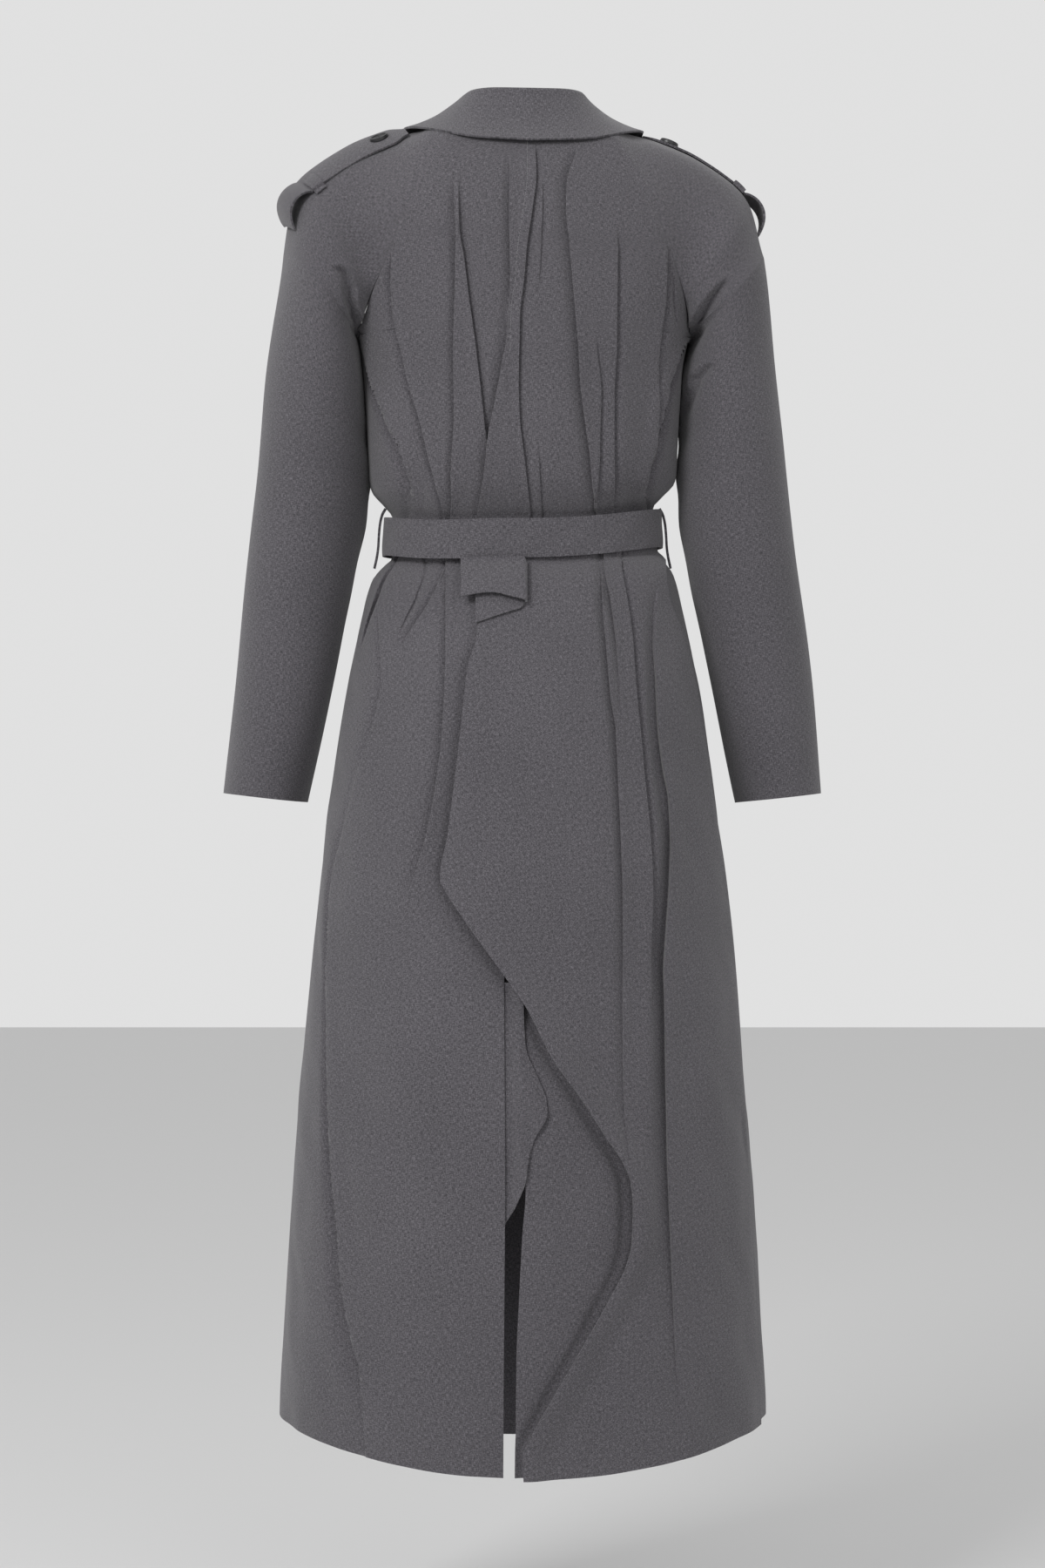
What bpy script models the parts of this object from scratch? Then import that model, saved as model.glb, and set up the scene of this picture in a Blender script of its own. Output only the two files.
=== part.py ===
# A full-length belted trench coat, filled out as if worn, with nobody in it.
# Metres, +Z up. The coat's back faces -Y and the wearer's left is -X. The origin is the middle of
# the neck opening, at the level of the back neck seam, where the wearer's neck and shoulders hold it.

import bmesh
import bpy
import numpy as np
from mathutils import Vector

# Driving sizes
WALL = 0.0015               # thickness of the cloth
COLLAR_WALL = 0.0020
BELT_WALL = 0.0025
SEAM_GAP = 0.0003           # between two pieces that are sewn together
UNDERARM_LEVEL = -0.190
BELT_LEVEL = -0.3735        # middle of the belt at the side seams
BELT_HEIGHT = 0.037
BELT_OFFSET = 0.0090        # outer face of the belt from the outer face of the body
BELT_DROOP = 0.0150         # how much lower the belt hangs at the middle of the back
HEM_LEVEL = -1.2325         # at the side seams
HEM_DROOP_BACK = 0.0268
HEM_DROOP_FRONT = 0.0520
HEM_DROOP_POWER = 2.6       # the higher, the more the droop keeps to the middle of the back
NECK_LEVEL = 0.0020         # top row of the back panels
FRONT_NECK_LEVEL = -0.0120
NECK_LIFT = 0.0100          # how much higher the neck seam is at the shoulder than at the back
TWIST_DEGREES = 5.5         # the shoulders are turned this far on the skirt
STRAP_WIDTH = 0.042
STRAP_WALL = 0.0020
STRAP_BACKWARD_RIGHT = 0.0  # how far each strap lies behind the top of the shoulder
STRAP_BACKWARD_LEFT = 0.0110
STRAP_OFFSET = 0.0030       # outer face of the strap from the sleeve
BAND_WALL = 0.0014
BAND_LIFT = 0.0008          # under the band that holds the strap down
BUTTON_DIAMETER = 0.019
BUTTON_HEIGHT = 0.0035

# Fold lines are given as they are seen from behind, on the upright plane through the side seams,
# from this far away and this high
EYE_DISTANCE = 3.5
EYE_LEVEL = -0.622

CLOTH_COLOUR = (0.115, 0.109, 0.119, 1.0)
BUTTON_COLOUR = (0.020, 0.020, 0.022, 1.0)

# The body's horizontal outline, level by level. Above the underarm the outline runs on inside the
# sleeve head, and the raglan seam cuts it off.
BODY_COLUMNS = ("level", "half_width", "back_depth", "front_depth", "power")
BODY = (
    (0.022, 0.122, 0.045, 0.030, 2.2),
    (0.002, 0.136, 0.067, 0.050, 2.2),
    (-0.010, 0.150, 0.086, 0.062, 2.2),
    (-0.030, 0.170, 0.097, 0.080, 2.2),
    (-0.060, 0.187, 0.107, 0.098, 2.2),
    (-0.100, 0.190, 0.115, 0.112, 2.2),
    (-0.150, 0.175, 0.121, 0.122, 2.2),
    (-0.190, 0.161, 0.123, 0.126, 2.2),
    (-0.225, 0.1535, 0.124, 0.126, 2.2),
    (-0.260, 0.1515, 0.124, 0.125, 2.2),
    (-0.300, 0.1495, 0.122, 0.120, 2.2),
    (-0.318, 0.1480, 0.118, 0.115, 2.2),
    (-0.329, 0.1462, 0.114, 0.109, 2.2),
    (-0.345, 0.1285, 0.102, 0.097, 2.2),
    (-0.3535, 0.127, 0.093, 0.091, 2.2),
    (-0.3935, 0.127, 0.093, 0.091, 2.2),
    (-0.403, 0.136, 0.101, 0.097, 2.2),
    (-0.418, 0.147, 0.112, 0.105, 2.2),
    (-0.452, 0.156, 0.126, 0.112, 2.1),
    (-0.520, 0.170, 0.142, 0.122, 2.1),
    (-0.588, 0.181, 0.152, 0.129, 2.1),
    (-0.656, 0.190, 0.160, 0.134, 2.1),
    (-0.792, 0.205, 0.174, 0.141, 2.1),
    (-0.928, 0.2175, 0.187, 0.147, 2.1),
    (-1.064, 0.2275, 0.198, 0.152, 2.1),
    (-1.200, 0.2350, 0.207, 0.156, 2.1),
    (-1.260, 0.2370, 0.210, 0.158, 2.1),
)

# Raglan seam: how far it is from the middle at each level, alike at the back and the front
RAGLAN_COLUMNS = ("level", "reach")
RAGLAN = (
    (0.012, 0.065),
    (0.000, 0.069),
    (-0.012, 0.075),
    (-0.045, 0.098),
    (-0.070, 0.115),
    (-0.097, 0.129),
    (-0.130, 0.141),
    (-0.150, 0.149),
    (-0.168, 0.155),
    (-0.190, 0.161),
)

# Folds of the back, left to right. Columns of each row: x and z where the fold is seen (mm), its
# depth (mm) and how far it reaches to the low side (mm). high_side is -1 where the cloth left of
# the line stands over it and +1 where the cloth right of it does.
FOLD_COLUMNS = ("x", "z", "depth", "reach")
FOLDS = {
    "left_side": {
        "high_side": 1,
        "rows": (
            (-170, -120, 0, 12), (-161, -160, 0, 12), (-156, -190, 2, 14), (-149, -222, 8, 20), (-136, -256, 9, 22),
            (-119, -299, 7, 22), (-112, -345, 3, 14), (-122, -398, 3, 12), (-142, -440, 3, 14),
            (-140, -518, 3, 16), (-157, -597, 2, 16), (-182, -700, 4, 24), (-189, -790, 9, 28),
            (-188, -996, 11, 30), (-178, -1115, 12, 34), (-170, -1300, 12, 38),
        ),
    },
    "left_blade": {
        "high_side": 1,
        "rows": (
            (-125, -80, 0, 10), (-128, -129, 3, 14), (-126, -163, 4, 14), (-118, -197, 4, 14),
            (-101, -265, 5, 14), (-84, -333, 4, 12), (-79, -370, 1, 8), (-78, -404, 5, 12),
            (-86, -432, 6, 14), (-106, -469, 5, 14), (-124, -497, 0, 12), (-140, -700, 0, 12),
            (-146, -1300, 0, 12),
        ),
    },
    "left_inner": {
        "high_side": 1,
        "rows": (
            (-68, -44, 0, 6), (-66, -106, 3, 8), (-69, -197, 3, 9), (-66, -258, 3, 9),
            (-68, -345, 2, 6), (-70, -385, 1, 6), (-73, -420, 4, 10), (-76, -494, 5, 12),
            (-80, -567, 5, 14), (-84, -626, 4, 14), (-97, -680, 2, 14), (-107, -730, 0, 14),
            (-116, -1300, 0, 14),
        ),
    },
    "left_pleat": {
        "high_side": -1,
        "rows": (
            (-60, -44, 0, 6), (-57, -95, 3, 8), (-51, -146, 4, 9), (-41, -231, 4, 9),
            (-38, -275, 2, 7), (-46, -330, 0, 5), (-52, -400, 0, 5), (-66, -700, 0, 8),
            (-88, -1300, 0, 8),
        ),
    },
    "left_centre": {
        "high_side": 1,
        "rows": (
            (-14, -19, 0, 6), (-13, -69, 3, 8), (-13, -129, 4, 9), (-16, -180, 4, 9),
            (-27, -248, 4, 9), (-34, -285, 4, 8), (-38, -316, 3, 8), (-43, -358, 1, 6),
            (-43, -400, 0, 5), (-50, -700, 0, 8), (-60, -1300, 0, 8),
        ),
    },
    "centre": {
        "high_side": -1,
        "rows": (
            (14, -3, 0, 6), (14, -27, 2, 8), (10, -61, 3, 9), (2, -129, 3, 9), (-2, -197, 3, 9),
            (-2, -265, 3, 9), (6, -333, 3, 8), (9, -358, 1, 6), (6, -400, 0, 6), (2, -560, 0, 6),
            (0, -720, 0, 6), (0, -1300, 0, 6),
        ),
    },
    "right_inner": {
        "high_side": 1,
        "rows": (
            (50, -3, 0, 8), (43, -31, 3, 9), (42, -61, 4, 10), (48, -129, 4, 11), (54, -197, 4, 11),
            (60, -265, 4, 11), (68, -333, 3, 9), (73, -370, 1, 6), (76, -400, 4, 9),
            (79, -432, 5, 11), (82, -483, 5, 12), (85, -543, 5, 12), (91, -602, 4, 12),
            (93, -741, 4, 12), (95, -996, 3, 12), (96, -1045, 0, 12), (98, -1300, 0, 12),
        ),
    },
    "right_middle": {
        "high_side": -1,
        "rows": (
            (95, -90, 0, 8), (93, -146, 3, 10), (92, -197, 3, 10), (92, -265, 4, 10),
            (92, -345, 3, 8), (93, -385, 1, 6), (97, -420, 4, 11), (105, -478, 6, 14),
            (108, -520, 7, 16), (111, -563, 8, 18), (116, -622, 9, 21), (121, -690, 10, 23),
            (123, -760, 10, 25), (122, -880, 9, 25), (125, -1000, 8, 25), (133, -1150, 6, 26),
            (140, -1300, 5, 28),
        ),
    },
    "right_blade": {
        "high_side": -1,
        "rows": (
            (143, -85, 0, 8), (141, -129, 3, 10), (138, -171, 4, 10), (131, -214, 3, 9),
            (124, -250, 1, 8), (117, -300, 0, 6), (112, -360, 0, 6), (128, -435, 0, 8),
            (150, -560, 0, 8), (168, -700, 0, 8), (180, -1300, 0, 8),
        ),
    },
    "right_side": {
        "high_side": -1,
        "rows": (
            (180, -140, 0, 12), (170, -168, 1, 12), (150, -209, 7, 18), (140, -239, 9, 20),
            (133, -273, 8, 20), (127, -316, 6, 18), (123, -350, 2, 12), (128, -380, 0, 8),
            (150, -440, 0, 8), (172, -560, 0, 8), (188, -700, 0, 8), (200, -1300, 0, 8),
        ),
    },
}
FOLD_LIFT = 0.35            # height of the lip over the cloth, as a share of the fold's depth
FOLD_LIP = 0.0030           # from the bottom of a fold to its lip
SEAM_COLUMN = 0.0050        # the first column of points inside a sewn edge
CENTRE_SEAM_GROOVE = 0.0006
CENTRE_SEAM_INSET = 0.0090  # the centre back seam lies this far left of the centre fold's bottom

# Free edges of the back, as they are seen (mm)
EDGE_COLUMNS = ("x", "z")
LEFT_VENT_EDGE = (
    (9, -358), (6, -400), (2, -560), (-3, -690), (-12, -760), (-19, -811), (-18, -1010),
    (-18, -1150), (-19, -1300),
)
RIGHT_VENT_EDGE = (
    (9, -358), (6, -400), (2, -560), (0, -690), (1, -760), (3, -900), (3, -1020), (0, -1060),
    (-3, -1116), (-6, -1185), (-7, -1300),
)
DRAPE_EDGE = (
    (-43, -380), (-44, -478), (-51, -506), (-60, -590), (-70, -673), (-76, -705), (-75, -716),
    (-72, -724), (-47, -764), (-15, -811), (4, -840), (28, -889), (54, -928), (77, -966),
    (92, -990), (99, -1009), (101, -1032), (100, -1068), (96, -1087), (76, -1130), (46, -1186),
    (24, -1226), (5, -1262), (0, -1274), (1, -1300),
)
DRAPE_SIDE_EDGE = (
    (134, -380), (139, -435), (156, -483), (171, -555), (183, -638), (194, -707), (204, -800),
    (217, -1000), (228, -1200), (230, -1300),
)
UNDERLAP_EDGE = (
    (2, -815), (1, -835), (3, -877), (16, -911), (23, -930), (24, -943), (12, -968), (6, -988),
    (3, -1010), (-7, -1034), (-16, -1050), (-22, -1062),
)
UNDERLAP_INNER = ((-30, -800), (-30, -1070))

# Front edges, as distances past the middle line (m)
FRONT_EDGE_COLUMNS = ("level", "past_middle")
FRONT_EDGE = (
    (-0.012, -0.066), (-0.060, -0.050), (-0.120, -0.028), (-0.200, 0.003), (-0.280, 0.036),
    (-0.345, 0.058), (-0.400, 0.064), (-0.700, 0.072), (-1.300, 0.082),
)
LAPEL_COLUMNS = ("level", "width")
LAPEL = (
    (-0.052, 0.030), (-0.070, 0.060), (-0.082, 0.070), (-0.092, 0.073), (-0.110, 0.070),
    (-0.160, 0.062), (-0.220, 0.046), (-0.270, 0.028), (-0.302, 0.010),
)

FRONT_SHARES = (0.0, 0.02, 0.11, 0.22, 0.34, 0.47, 0.60, 0.73, 0.86, 1.0)
OVER_WRAP_COLUMNS = ("level", "offset")
OVER_WRAP = (               # how far the right front stands off the left one's place
    (-0.012, 0.0), (-0.120, 0.0), (-0.180, 0.0070), (-0.320, 0.0070), (-0.3500, 0.0042),
    (-0.400, 0.0042), (-0.450, 0.0048), (-1.300, 0.0048),
)
LAPEL_LIFT = 0.0022         # the gap between a lapel and the front under it

BACK_LEVELS = (
    0.002, -0.010, -0.030, -0.055, -0.085, -0.120, -0.155, -0.190, -0.225, -0.260, -0.295,
    -0.322, -0.342, -0.3525, -0.3735, -0.3945, -0.404, -0.420, -0.450, -0.490, -0.540, -0.600,
    -0.670, -0.750, -0.830, -0.910, -0.990, -1.070, -1.150, HEM_LEVEL,
)
# How far down the raglan seam each row of the upper back is. The sleeve's rings and the fronts'
# upper rows are at the same shares, so that the pieces meet along the whole seam.
RAGLAN_SHARES = tuple(
    (NECK_LEVEL - level) / (NECK_LEVEL - UNDERARM_LEVEL)
    for level in BACK_LEVELS if level >= UNDERARM_LEVEL
)
FRONT_LEVELS = tuple(
    FRONT_NECK_LEVEL + (UNDERARM_LEVEL - FRONT_NECK_LEVEL) * share for share in RAGLAN_SHARES
) + (
    -0.230, -0.265, -0.300, -0.330, -0.3525, -0.3735, -0.3945, -0.410, -0.440, -0.500, -0.580,
    -0.680, -0.800, -0.920, -1.040, -1.150, HEM_LEVEL,
)
DRAPE_LEVELS = (
    -0.380, -0.3945, -0.404, -0.420, -0.450, -0.490, -0.540, -0.600, -0.650, -0.690, -0.704,
    -0.740, -0.780, -0.820, -0.870, -0.920, -0.970, -1.000, -1.030, -1.060, -1.090, -1.130,
    -1.170, -1.205, HEM_LEVEL,
)

# Sleeves, for the wearer's right. The top of the sleeve runs from the neck over the shoulder.
RIDGE_COLUMNS = ("x", "z")
RIDGE = (
    (0.070, 0.0165), (0.090, 0.0135), (0.109, 0.0095), (0.125, 0.0060), (0.140, 0.0010),
    (0.161, -0.0075), (0.1785, -0.0175), (0.195, -0.0285), (0.209, -0.0395), (0.218, -0.0500),
    (0.2245, -0.0630), (0.2285, -0.0780), (0.2310, -0.0920), (0.2340, -0.1080),
)
SLEEVE_COLUMNS = ("inner_x", "inner_z", "outer_x", "outer_z", "half_depth", "middle_y")
SLEEVE = (
    (0.1625, -0.1900, 0.2340, -0.1080, 0.0880, 0.000),
    (0.1572, -0.2150, 0.2400, -0.1580, 0.0830, 0.001),
    (0.1542, -0.2450, 0.2455, -0.2080, 0.0790, 0.002),
    (0.1520, -0.2800, 0.2510, -0.2560, 0.0755, 0.003),
    (0.1495, -0.3200, 0.2575, -0.3060, 0.0725, 0.005),
    (0.1545, -0.3700, 0.2645, -0.3600, 0.0695, 0.008),
    (0.1655, -0.4300, 0.2710, -0.4210, 0.0665, 0.012),
    (0.1785, -0.4950, 0.2780, -0.4860, 0.0635, 0.017),
    (0.1935, -0.5650, 0.2855, -0.5560, 0.0600, 0.022),
    (0.2110, -0.6400, 0.2932, -0.6310, 0.0565, 0.027),
)
SLEEVE_SIDES = 20
SLEEVE_HEAD_DEPTH = SLEEVE[0][4]
ROUND_PULL = 4 / 3          # of a half depth, for a curve that goes out as far as that half depth
NECK_FULLNESS = 0.25        # how far the sleeve follows the body past the raglan seam, as a share
HEAD_FULLNESS = 0.38
RIDGE_FULLNESS = 0.40
NECK_SEAM_EXTRA = 0.0005    # the raglan seam is this much wider at the neck

# Collar, for the right half. Seam, roll line and outer edge at each place round the neck.
COLLAR_COLUMNS = (
    "seam_x", "seam_y", "seam_z", "roll_x", "roll_y", "roll_z", "edge_x", "edge_y", "edge_z",
)
COLLAR = (
    (0.000, -0.0620, 0.0045, 0.000, -0.0670, 0.0440, 0.000, -0.0955, -0.0095),
    (0.036, -0.0560, 0.0080, 0.036, -0.0590, 0.0452, 0.052, -0.0905, -0.0065),
    (0.058, -0.0390, 0.0160, 0.054, -0.0380, 0.0458, 0.090, -0.0710, 0.0065),
    (0.067, -0.0050, 0.0215, 0.0595, -0.0040, 0.0450, 0.116, -0.0170, 0.0205),
    (0.066, 0.0240, 0.0120, 0.060, 0.0250, 0.0350, 0.119, 0.0400, 0.0150),
    (0.062, 0.0440, -0.0070, 0.057, 0.0470, 0.0100, 0.114, 0.0840, -0.0100),
    (0.056, 0.0620, -0.0330, 0.051, 0.0680, -0.0180, 0.100, 0.1080, -0.0420),
)
COLLAR_STEPS = 2            # rows of the collar between two rows of the table
COLLAR_TURN = 0.0030        # how far the roll stands out from the roll line
COLLAR_HOLLOW = 0.0035      # the fall dips this far between roll and edge

STRAP_START = 0.112         # x of the strap's end under the collar
STRAP_BAND_X = 0.2110
STRAP_END = 0.2297          # x of the strap's folded end, low on the sleeve head
STRAP_BAND_LENGTH = 0.0130
STRAP_TIP_WIDTH = 0.55      # of the full width, under the collar
STRAP_TIP_LENGTH = 0.07     # of the sleeve head's length
STRAP_BOW = 0.0080          # how far the strap's folded end stands off the sleeve
STRAP_BOW_ROUNDNESS = 0.8
STRAP_ACROSS = (-1, -0.5, 0, 0.5, 1)    # of half the strap's width
# The band that holds the strap down, across the strap: places as shares of half the strap's width,
# and whether the band is over the strap (1) or down on the sleeve (0) there
BAND_ACROSS = (-1.30, -1.14, -1.07, -0.6, 0, 0.6, 1.07, 1.14, 1.30)
BAND_OVER = (0, 0, 1, 1, 1, 1, 1, 0, 0)
BAND_INWARD = 0.7           # of the band's length that lies on the collar's side of its place
BUTTON_X = 0.1425
BUTTON_LIFT = 0.0012        # under the button, for the strap's curve

CARRIER_COLUMNS = ("x", "z")
CARRIER = (
    (0.1352, -0.3440), (0.1386, -0.3510), (0.1406, -0.3610), (0.1411, -0.3750),
    (0.1416, -0.3880), (0.1428, -0.3970), (0.1452, -0.4070),
)
CARRIER_WIDTH = 0.010
CARRIER_WALL = 0.0020

# The folded tab under the belt, column by column: an outer layer, a turn at its right and an inner
# layer. Each column has its x, its offset from the body, and the levels of its top and bottom.
TAB = (
    (-0.0545, 0.0115, -0.3915, -0.4300), (-0.0435, 0.0115, -0.3915, -0.4279),
    (-0.0325, 0.0115, -0.3915, -0.4268), (-0.0215, 0.0115, -0.3915, -0.4276),
    (-0.0105, 0.0115, -0.3915, -0.4303), (0.0005, 0.0115, -0.3915, -0.4340),
    (0.0037, 0.0105, -0.3975, -0.4370), (0.0045, 0.0085, -0.3975, -0.4370),
    (0.0033, 0.0068, -0.3975, -0.4370), (-0.0021, 0.0062, -0.4055, -0.4434),
    (-0.0123, 0.0062, -0.4055, -0.4470), (-0.0225, 0.0062, -0.4055, -0.4507),
    (-0.0328, 0.0062, -0.4055, -0.4543), (-0.0430, 0.0062, -0.4055, -0.4580),
)
TAB_ROWS = 7
TAB_WALL = 0.0013

KNOT_X = -0.0120
KNOT_OFFSET = 0.0120        # middle of the knot from the belt's outer face
KNOT_SIZE = (0.042, 0.022, 0.048)
KNOT_ROUNDING = 0.009
ENDS = (                    # name, sideways lean, length, and offset from the front
    ("belt_end_left", -0.022, 0.300, 0.0100),
    ("belt_end_right", 0.030, 0.340, 0.0142),
)
END_TOP = BELT_LEVEL - BELT_HEIGHT / 2 - 0.010
END_WALL = 0.0022

DRAPE_OFFSET = 0.0042       # outer face of the drape from the body where it is held
DRAPE_STANDING = 0.0050     # more than that low down and at its free edge
DRAPE_LIFTED = 0.0050
UNDERLAP_CLEARANCE = 0.0010


def smooth(xs, ys, at):
    """A curve through the points (xs, ys), rising xs, that doesn't overshoot them."""
    xs = np.asarray(xs, float)
    ys = np.asarray(ys, float)
    steps = np.diff(xs)
    slopes = np.diff(ys) / steps
    tangents = np.empty(len(xs))
    tangents[0] = slopes[0]
    tangents[-1] = slopes[-1]
    before = slopes[:-1]
    after = slopes[1:]
    same_way = before * after > 0
    mean = 2 * before * after / np.where(same_way, before + after, 1)
    tangents[1:-1] = np.where(same_way, mean, 0)
    at = np.clip(at, xs[0], xs[-1])
    i = np.clip(np.searchsorted(xs, at) - 1, 0, len(steps) - 1)
    t = (at - xs[i]) / steps[i]
    return (
        ys[i] * (1 + 2 * t) * (1 - t) ** 2
        + ys[i + 1] * t * t * (3 - 2 * t)
        + steps[i] * tangents[i] * t * (1 - t) ** 2
        + steps[i] * tangents[i + 1] * t * t * (t - 1)
    )


def column(rows, names, name):
    return np.array([row[names.index(name)] for row in rows], float)


def by_level(rows, names, name, level):
    """A table's value at a level. Tables run downwards, so they are turned over first."""
    return smooth(column(rows, names, names[0])[::-1], column(rows, names, name)[::-1], level)


def along_path(rows, names, name, z):
    """A seen line's value at a seen height, both in metres."""
    heights = column(rows, names, "z")[::-1] / 1000
    return smooth(heights, column(rows, names, name)[::-1] / 1000, z)


def fade(value, start, end):
    """0 at start, 1 at end, with soft ends."""
    t = np.clip((value - start) / (end - start), 0, 1)
    return t * t * (3 - 2 * t)


def twist_angle(z):
    return np.radians(TWIST_DEGREES) * fade(z, BELT_LEVEL, -0.10)


def twisted(points):
    """Points (rows, columns, 3) turned about Z with the shoulders."""
    points = np.asarray(points, float)
    angle = twist_angle(points[..., 2])
    x = points[..., 0] * np.cos(angle) - points[..., 1] * np.sin(angle)
    y = points[..., 0] * np.sin(angle) + points[..., 1] * np.cos(angle)
    return np.stack([x, y, points[..., 2]], axis=-1)


class Section:
    """The body's outline at one level, measured by the distance round it from the mid back.

    Positive distances go to the wearer's right, past the side seam and round the front."""

    TURN = np.radians(np.linspace(-250, 250, 1501))

    def __init__(self, level):
        self.level = level
        half_width, back, front, power = (
            float(by_level(BODY, BODY_COLUMNS, name, level)) for name in BODY_COLUMNS[1:]
        )
        sine = np.sin(self.TURN)
        cosine = np.cos(self.TURN)
        self.x = half_width * np.sign(sine) * np.abs(sine) ** (2 / power)
        depth = np.where(cosine > 0, back, front)
        self.y = -depth * np.sign(cosine) * np.abs(cosine) ** (2 / power)
        at_back = np.where(cosine > 0, cosine ** 2, 0)
        at_front = np.where(cosine < 0, cosine ** 2, 0)
        hem_at_back = np.where(cosine > 0, np.abs(cosine) ** HEM_DROOP_POWER, 0)
        near_belt = fade(level, -0.27, BELT_LEVEL + 0.02) * (1 - fade(level, BELT_LEVEL - 0.03, -0.60))
        near_hem = fade(level, -0.60, HEM_LEVEL)
        near_neck = fade(level, -0.06, NECK_LEVEL)
        self.z = (
            level
            - BELT_DROOP * at_back * near_belt
            - near_hem * (HEM_DROOP_BACK * hem_at_back + HEM_DROOP_FRONT * at_front)
            + NECK_LIFT * near_neck * np.where(cosine > 0, (self.x / 0.07) ** 2, 0)
        )
        steps = np.hypot(np.diff(self.x), np.diff(self.y))
        way = np.concatenate([[0], np.cumsum(steps)])
        self.way = way - np.interp(0, self.TURN, way)
        turned = twisted(np.stack([self.x, self.y, self.z], axis=-1))
        self.points = turned
        along = np.gradient(turned[:, :2], axis=0)
        along /= np.linalg.norm(along, axis=1)[:, None]
        self.normals = np.stack([along[:, 1], -along[:, 0], 0 * along[:, 0]], axis=-1)
        self.side = np.interp(np.pi / 2, self.TURN, self.way)
        if level > UNDERARM_LEVEL:
            reach = float(by_level(RAGLAN, RAGLAN_COLUMNS, "reach", level))
            quarter = (self.TURN >= 0) & (self.TURN <= np.pi / 2)
            self.back_edge = np.interp(reach, self.x[quarter], self.way[quarter])
            quarter = (self.TURN >= np.pi / 2) & (self.TURN <= np.pi)
            self.front_edge = np.interp(-reach, -self.x[quarter], self.way[quarter])
        else:
            self.back_edge = self.side
            self.front_edge = self.side
        back = np.abs(self.TURN) < np.pi / 2
        nearness = (EYE_DISTANCE + turned[back, 1]) / EYE_DISTANCE
        self.seen_way = self.way[back]
        self.seen_x = turned[back, 0] / nearness
        self.seen_z = EYE_LEVEL + (turned[back, 2] - EYE_LEVEL) / nearness

    def where_seen(self, rows, names):
        """The distance round the outline at which a seen line crosses this level."""
        gap = self.seen_x - along_path(rows, names, "x", self.seen_z)
        sign_change = np.flatnonzero(np.diff(np.sign(gap)) > 0)
        if len(sign_change) == 0:
            return self.seen_way[np.argmin(np.abs(gap))]
        i = sign_change[0]
        share = -gap[i] / (gap[i + 1] - gap[i])
        return self.seen_way[i] * (1 - share) + self.seen_way[i + 1] * share

    def seen_height(self, way):
        return np.interp(way, self.seen_way, self.seen_z)

    def front_way(self, x):
        """The distance round the outline to a place on the front, x from the middle."""
        front = (self.TURN > np.pi / 2) & (self.TURN < np.radians(250))
        return np.interp(-x, -self.x[front], self.way[front])

    def at(self, ways, offset=0.0):
        """Points at distances round the outline, moved out by the offset."""
        ways = np.asarray(ways, float)
        points = np.stack([np.interp(ways, self.way, self.points[:, k]) for k in range(3)], axis=-1)
        normals = np.stack([np.interp(ways, self.way, self.normals[:, k]) for k in range(3)], axis=-1)
        normals /= np.linalg.norm(normals, axis=-1)[..., None]
        return points + normals * np.asarray(offset)[..., None]


def fold_height(section, ways):
    """How far the folds lift or sink the cloth at distances round the outline."""
    ways = np.asarray(ways, float)
    height = np.zeros(ways.shape)
    for fold in FOLDS.values():
        rows = fold["rows"]
        bottom = section.where_seen(rows, FOLD_COLUMNS)
        z = section.seen_height(bottom)
        top_row = rows[0][1] / 1000
        if z > top_row:
            continue
        depth = float(along_path(rows, FOLD_COLUMNS, "depth", z))
        reach = float(along_path(rows, FOLD_COLUMNS, "reach", z))
        if depth <= 0:
            continue
        beyond = (ways - bottom) * fold["high_side"]
        places = (-reach, -reach / 2, 0, FOLD_LIP, FOLD_LIP + reach / 2, FOLD_LIP + reach)
        lift = FOLD_LIFT * depth
        heights = (0, -0.45 * depth, -depth, lift, lift / 2, 0)
        height += np.interp(beyond, places, heights)
    edge = section.back_edge
    return height * fade(edge - np.abs(ways), 0.0, 0.014)


def spread(targets, first, last):
    """Column places in order between first and last, as close to their targets as they fit."""
    gap = min(0.0022, (last - first) / (len(targets) + 2))
    places = [first]
    for target in targets:
        places.append(max(target, places[-1] + gap))
    places.append(last)
    for i in range(len(places) - 2, 0, -1):
        places[i] = min(places[i], places[i + 1] - gap)
    return np.array(places)


def fold_targets(section, names):
    """Columns at each named fold: its low side, its bottom and its lip, left to right."""
    targets = []
    for name in names:
        fold = FOLDS[name]
        bottom = section.where_seen(fold["rows"], FOLD_COLUMNS)
        reach = float(along_path(fold["rows"], FOLD_COLUMNS, "reach", section.seen_height(bottom)))
        offsets = (-reach, 0, FOLD_LIP)
        targets += sorted(bottom + fold["high_side"] * offset for offset in offsets)
    return np.maximum.accumulate(targets)


def make_material(name, colour, roughness):
    material = bpy.data.materials.new(name)
    material.use_nodes = True
    shader = material.node_tree.nodes["Principled BSDF"]
    shader.inputs["Base Color"].default_value = colour
    shader.inputs["Roughness"].default_value = roughness
    shader.inputs["Metallic"].default_value = 0.0
    return material


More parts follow.
